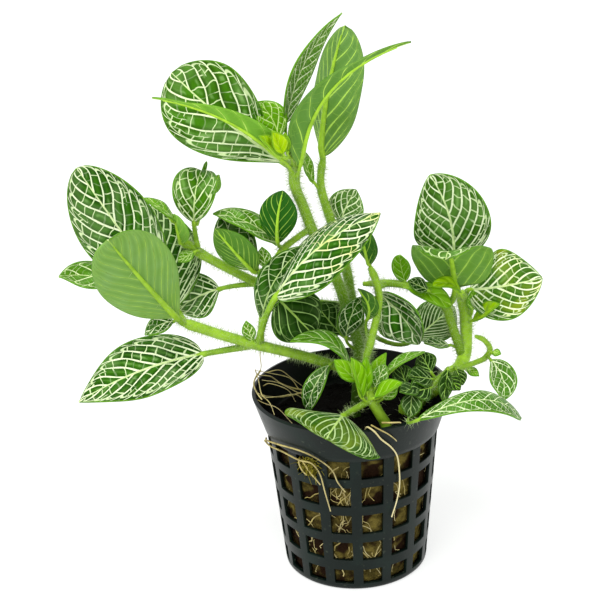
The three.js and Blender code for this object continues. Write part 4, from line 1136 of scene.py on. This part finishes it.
def makePotSkin():
    look, base = potLook, potLook["base"]
    material, graph, shader = newMaterial("potPlastic", Specular_IOR_Level=0.18)
    spot = graph.place()
    grain = graph.clouds(spot, 0.5, 3.0)
    wear, dust = graph.patches(spot, *look["wear"]), graph.patches(spot, *look["dust"]) * 0.25
    # how far in from the outer skin this is, so that the pot's inside face gets painted shade
    across, back, height = graph.split(spot)
    (bandLow, bandRadius), rise = look["band"], look["height"] - look["band"][0]
    band = graph.ease(height, bandLow - 0.4, bandLow, 0.0, 1.0)
    flare = (height - bandLow) * ((look["rim"] - bandRadius) / rise) * band
    outer = flare + height.math("MINIMUM", bandLow) * ((bandRadius - base) / bandLow) + base
    innerShade = graph.ease(outer - squareRoot(across * across + back * back), *look["innerWall"])
    colour = graph.blend(wear * 0.5, look["black"], look["worn"])
    colour = graph.blend(innerShade * 0.85, colour, look["inside"])
    colour = graph.blend(dust, colour, look["dusty"])
    feed(
        graph, shader, Base_Color=colour, Roughness=wear * 0.14 + 0.3 + grain * 0.06,
        Normal=relief(graph, grain, look["relief"]),
    )
    return material


def makePot(tree):
    shell = grown(
        newMesh("potSector", *potSector()), tree, "potShell", Count=potLook["sectors"],
        First=math.radians(potLook["first"]), Material=makePotSkin(),
    )
    wall = shell.modifiers.new("wall", "SOLIDIFY")
    wall.thickness, wall.offset, wall.use_even_offset = potLook["wall"] * mm, -1, True
    edges = shell.modifiers.new("edges", "BEVEL")
    edges.width, edges.segments, edges.limit_method = potLook["bevel"] * mm, 2, "ANGLE"
    edges.angle_limit, edges.harden_normals = math.radians(potLook["sharp"]), True
    finish(settled(shell, "netPot"), "pot", "net_pot")


# Growing medium: edge and top are the heights of its upper side at the wall and in the middle
# upper is near-black: dark soil with painted shade on the upper side, fading in between the heights in high
mediumLook = {
    "edge": 40.4, "top": 41.6, "shoulder": 22, "slope": 9, "floor": 1.7, "clear": 1.3, "seat": 37.6,
    "snug": 0.26, "around": 150, "firstLevel": 2.4, "levels": 48, "rings": (21.4, 0.6, 28),
    "lumps": (0.45, 0.8, 2.0, 4), "rough": 0.55, "roughTop": 0.9, "topRadius": 21.6, "relief": 0.5,
    "soil": (ink(6, 3, 2), ink(52, 32, 16)), "felt": (ink(12, 10, 2), ink(128, 114, 54)),
    "upper": (ink(1, 1, 0), ink(13, 10, 5)), "high": (38, 40.5),
    "patch": (6, 2, 0.42, 0.56), "tuft": (2.6, 3, 0.36, 0.66),
}
crumbLook = {
    "perMm2": 0.9, "smallest": 0.25, "largest": 0.8, "narrow": 0.7, "flat": (0.35, 1.0), "seed": 4,
    "bed": 40.6, "slope": 0.05, "rings": (21.6, 1, 12), "around": 40,
}
plugRootLook = {
    "count": 135, "height": (10, 39), "lowest": 3, "drop": (0.2, 1.9), "wander": 1.6, "steps": (5, 12),
    "frontEach": 5, "front": (-4, 8), "depth": 0.35, "stray": (-0.25, 0.15), "heading": (-2.2, 2.2),
    "keep": 0.75, "girth": 0.08, "thicker": 0.14, "tone": (0, 0.6), "sides": 6,
}


def makeMediumSkin():
    look = mediumLook
    material, graph, shader = newMaterial("mediumSkin", Roughness=0.95, Specular_IOR_Level=0.08)
    spot = graph.place()
    fibre = graph.clouds(spot, 0.5, 5.0, 0.7)
    felt = graph.blend(fibre * 0.6 + graph.patches(spot, *look["tuft"]) * 0.55, *look["felt"])
    soil = graph.blend(fibre, *look["soil"])
    colour = graph.blend(graph.patches(spot, *look["patch"]), soil, felt)
    # the upper side is near-black: dark soil with painted shade
    high = graph.ease(graph.split(spot)[2], *look["high"])
    colour = graph.blend(high, colour, graph.blend(fibre, *look["upper"]))
    feed(graph, shader, Base_Color=colour, Normal=relief(graph, fibre, look["relief"]))
    return material


def plugProfile():
    # radius and height from the floor up the wall and over the upper side to the middle
    edge, top = mediumLook["edge"], mediumLook["top"]
    heights = np.linspace(mediumLook["firstLevel"], edge, mediumLook["levels"])
    snug = mediumLook["snug"] * np.clip((heights - mediumLook["seat"]) / 2, 0, 1)
    profile = [(wallRadius(0) - mediumLook["clear"], mediumLook["floor"])]
    profile += [(wallRadius(z) - mediumLook["clear"] + more, z) for z, more in zip(heights, snug)]
    for r in np.linspace(*mediumLook["rings"]):
        profile.append((r, edge + (top - edge) * min((mediumLook["shoulder"] - r) / mediumLook["slope"], 1)))
    return profile


def plugPoint(r, turn, z):
    # lumps go up and down on the upper side, and only inwards on the wall below the rim band
    spot = Vector(roundPot(r, turn, z))
    scale, *detail = mediumLook["lumps"]
    lump = noise.fractal(spot * scale, *detail) * mediumLook["rough"]
    if r < mediumLook["topRadius"] and z > mediumLook["edge"] - 0.3:
        spot.z += mediumLook["roughTop"] * lump
    elif z < mediumLook["seat"]:
        spot *= 1 - (abs(lump) + 0.1) / max(r, 1)
        spot.z = z
    return tuple(spot)


def ringFaces(rings, around):
    faces = []
    for start in range(0, (rings - 1) * around, around):
        for k in range(around):
            a, b = start + k, start + (k + 1) % around
            faces.append((a, b, b + around, a + around))
    return faces


def makePlug(skin):
    around, profile = mediumLook["around"], plugProfile()
    points = [plugPoint(r, math.tau * k / around, z) for r, z in profile for k in range(around)]
    faces = ringFaces(len(profile), around)
    faces.append(tuple(range(around))[::-1])
    faces.append(tuple((len(profile) - 1) * around + k for k in range(around)))
    plug = newMesh("mediumPlug", points, faces)
    plug.data.materials.append(skin)
    finish(plug, "medium", "growing_medium")


def makeCrumbs(tree, skin):
    around = crumbLook["around"]
    rings = [(r, crumbLook["bed"] + (21 - r) * crumbLook["slope"]) for r in np.linspace(*crumbLook["rings"])]
    points = [roundPot(r, math.tau * k / around, z) for r, z in rings for k in range(around)]
    crumbs = grown(
        newMesh("crumbBed", points, ringFaces(len(rings), around)), tree, "mediumCrumbs",
        Density=crumbLook["perMm2"] / mm**2, Smallest=crumbLook["smallest"] * mm,
        Largest=crumbLook["largest"] * mm, Seed=crumbLook["seed"], Material=skin,
    )
    finish(crumbs, "medium")


def makePlugRoots(tree, skin):
    # fine roots that run down over the plug, seen through the openings
    look, lines = plugRootLook, Lines()
    for count in range(look["count"]):
        angle, height = rng.uniform(0, 360), rng.uniform(*look["height"])
        if count % look["frontEach"] == 0:
            angle = rng.normal(*look["front"])
        heading, path = rng.uniform(*look["heading"]), []
        for _ in range(int(rng.integers(*look["steps"]))):
            radius = wallRadius(height) - potLook["wall"] - look["depth"] + rng.uniform(*look["stray"])
            path.append(roundPot(radius, math.radians(angle), height))
            heading = look["keep"] * heading + rng.normal(0, look["wander"])
            angle += heading
            height = max(height - rng.uniform(*look["drop"]), look["lowest"])
        girth = look["girth"] + look["thicker"] * rng.uniform(0, 1) ** 2
        lines.add(smoothLine(path, 4), girth, 0, rng.uniform(*look["tone"]))
    finish(lines.rods("plugRoots", tree, look["sides"], skin), "root")


# Roots outside the medium: degrees round from the front, height, and mm out from the wall
wallRoots = {
    "root_front": [
        [(5, 44, -4.5), (6, 48, -2.6), (7, 50.4, -1.1), (10, 49.6, 0.5), (14, 47), (20, 44), (25, 40.3),
         (28, 35.5), (28.6, 31), (27.4, 26.6), (23.2, 21.9)],
    ],
    "root_front_short": [[(9.5, 50.6, -1.2), (13, 50.2, 0.4), (17, 48.6), (21.7, 46.3), (23.5, 45.2)]],
    "roots_left": [
        [(-86, 36.9), (-70, 39.4, 1.2), (-52, 41.5, 0.9), (-35, 42.2), (-23.7, 40.6), (-15.6, 37.5),
         (-12.2, 34), (-8, 31)],
        [(-84, 36.5, 1.1), (-70, 37.6), (-52.3, 39.1, 0.9), (-37.4, 39, 1.1), (-28.7, 38.6), (-23.8, 35.8),
         (-21.3, 30.6), (-18.2, 25)],
        [(-38, 39.3), (-38.5, 37.5), (-37, 35.6), (-33.5, 34.8)],
        [(-36, 39), (-31, 35.8), (-27.5, 34.2), (-24, 32.6)],
    ],
}
# x, y and z for those that lie inside the rim
looseRoots = {
    "roots_inside_left": [
        [(-11, 14, 42.6), (-15, 12.8, 44), (-18.4, 11.2, 46.4), (-21.2, 9.6, 49.2), (-24.2, 7.8, 50.6)],
        [(-11, 13.8, 42.8), (-15, 10.4, 43.2), (-19, 6, 44.6), (-22.4, 1.4, 47.6), (-24.2, -2.6, 50.3)],
        [(-23.6, 11, 50.4), (-24.9, 6.4, 50.4), (-25.2, 2, 50.4), (-24.4, -3, 50.3), (-23.4, -6.4, 50.3)],
    ],
    "root_right": [[(6.6, -22.6, 50.3), (8.6, -23.4, 50.3), (10.6, -23.2, 50.3), (11.4, -22.9, 50.3)]],
}
# thin strands in and over the rim at the left
strands = [
    [(-13.4, 10, 45), (-16.6, 10.4, 47.6), (-20.3, 9, 50), (-24.3, 8.6, 51.4)],
    [(-12, 6, 44.4), (-13.4, 6, 46.1), (-19.1, 7, 48.3), (-23.4, 4.6, 50.6)],
    [(-24.4, 8, 52), (-24.6, 2, 51.6), (-23.7, -5, 50.1), (-19.1, -3, 49.2), (-14.7, 2, 47.2), (-12, 4, 44)],
    [(-22.8, 6.5, 60), (-23.6, 6.9, 56.6), (-23.8, 7.4, 53), (-24.4, 8, 50)],
    [(-24.2, -3.7, 49.6), (-21.8, -4.3, 48.6), (-19.2, -6, 47.4), (-16, -7, 44)],
    [(-24.3, -1, 50.4), (-21.4, -6.5, 49.2), (-19.8, -8.4, 46.4)],
    [(-22.6, 11, 49.8), (-18.6, 12.4, 49), (-15.2, 14.2, 46.4), (-13, 15, 43)],
    [(-23.8, 1.8, 50.2), (-20.8, 3.6, 50), (-17.2, 3.2, 48.6), (-14, 3.4, 44.6)],
]
rootLook = {
    "girth": 0.323, "shortGirth": 0.255, "ends": (0.8, 0.5), "out": 0.66, "wander": 0.1, "sides": 8,
    "tone": (0, 0.35), "paleTone": (0.4, 0.95), "brown": ink(120, 102, 36), "tan": ink(186, 170, 96),
    "pale": ink(236, 224, 170), "patch": (3, 3, 0.35, 0.7), "relief": 0.06,
}
strandLook = {"girth": (0.15, 0.09), "tone": (0.1, 0.5), "wander": 0.4, "sides": 5}


def makeRootSkin():
    look = rootLook
    material, graph, shader = newMaterial("rootSkin", Roughness=0.6)
    spot = graph.place()
    colour = graph.blend(graph.patches(spot, *look["patch"]), look["tan"], look["brown"])
    colour = graph.blend(graph.painted("tone"), colour, look["pale"])
    grain = graph.clouds(spot, 0.25, 2.0)
    feed(graph, shader, Base_Color=colour, Normal=relief(graph, grain, look["relief"]))
    return material


def onWall(angle, height, out=rootLook["out"]):
    return roundPot(wallRadius(height) + out, math.radians(angle), height)


def strayLine(points, wander):
    # a smooth line through points that lie a little off their places
    line = smoothLine(points, 7)
    return line + smoothLine(rng.normal(0, wander, (len(points), 3)), 7)


def makeRoots(tree, skin):
    for node, roots in {**wallRoots, **looseRoots}.items():
        lines = Lines()
        girth = rootLook["shortGirth" if node == "root_front_short" else "girth"]
        tone = rootLook["paleTone" if node == "root_front" else "tone"]
        for points in roots:
            if node in wallRoots:
                points = [onWall(*point) for point in points]
            line = strayLine(points, rootLook["wander"])
            thick = girth * np.linspace(*rootLook["ends"], len(line))
            lines.add(line, thick, 0, np.linspace(*tone, len(line)))
        finish(lines.rods("fine_" + node, tree, rootLook["sides"], skin), "root", node)
    lines = Lines()
    for points in strands:
        line = strayLine(points, strandLook["wander"])
        thick = np.linspace(*strandLook["girth"], len(line))
        lines.add(line, thick, 0, np.linspace(*strandLook["tone"], len(line)))
    finish(lines.rods("strands", tree, strandLook["sides"], skin), "root")


# A tuft of moss in an opening at the front left
mossLook = {
    "strands": 300, "angle": (-32, 3.6), "height": (37.2, 1.2), "depth": (-0.5, 0.1), "length": (0.5, 1.7),
    "curl": 0.35, "clear": 0.6, "girth": 0.13, "sides": 4,
    "dark": ink(62, 58, 10), "bright": ink(168, 158, 56),
}


def makeMoss(tree):
    look = mossLook
    material, graph, shader = newMaterial("mossSkin", Roughness=0.85, Specular_IOR_Level=0.08)
    feed(graph, shader, Base_Color=graph.blend(graph.painted("tone"), look["dark"], look["bright"]))
    lines = Lines()
    for _ in range(look["strands"]):
        turn, height = math.radians(rng.normal(*look["angle"])), rng.normal(*look["height"])
        outward = np.array(roundPot(1, turn, 0))
        start = outward * (wallRadius(height) + rng.uniform(*look["depth"])) + [0, 0, height]
        heading = unit(outward * 0.25 + rng.normal(0, 0.7, 3) + [0, 0, -0.2])
        curl = rng.normal(0, look["curl"], 3)
        steps = np.linspace(0, 1, 5)[:, None] * rng.uniform(*look["length"])
        path = start + steps * heading + steps**2 * curl
        spare = np.linalg.norm(path[:, :2], axis=1) - wallRadius(height) + look["clear"]
        path = path + outward * np.maximum(-spare, 0)[:, None]
        lines.add(path, look["girth"] * np.linspace(1, 0.4, len(path)), 0, rng.uniform(0, 1))
    finish(lines.rods("mossTuft", tree, look["sides"], material), "medium")


setStage()
followTree, rootSkin = makeFollowTree(), makeRootSkin()
makePot(makeRingTree())
say("pot")
mediumSkin = makeMediumSkin()
makePlug(mediumSkin)
makeCrumbs(makeCrumbTree(), mediumSkin)
makePlugRoots(followTree, rootSkin)
say("medium")
makeRoots(followTree, rootSkin)
say("roots")
makeFoliage(followTree, makeHairTree())
makeMoss(followTree)
say("moss")
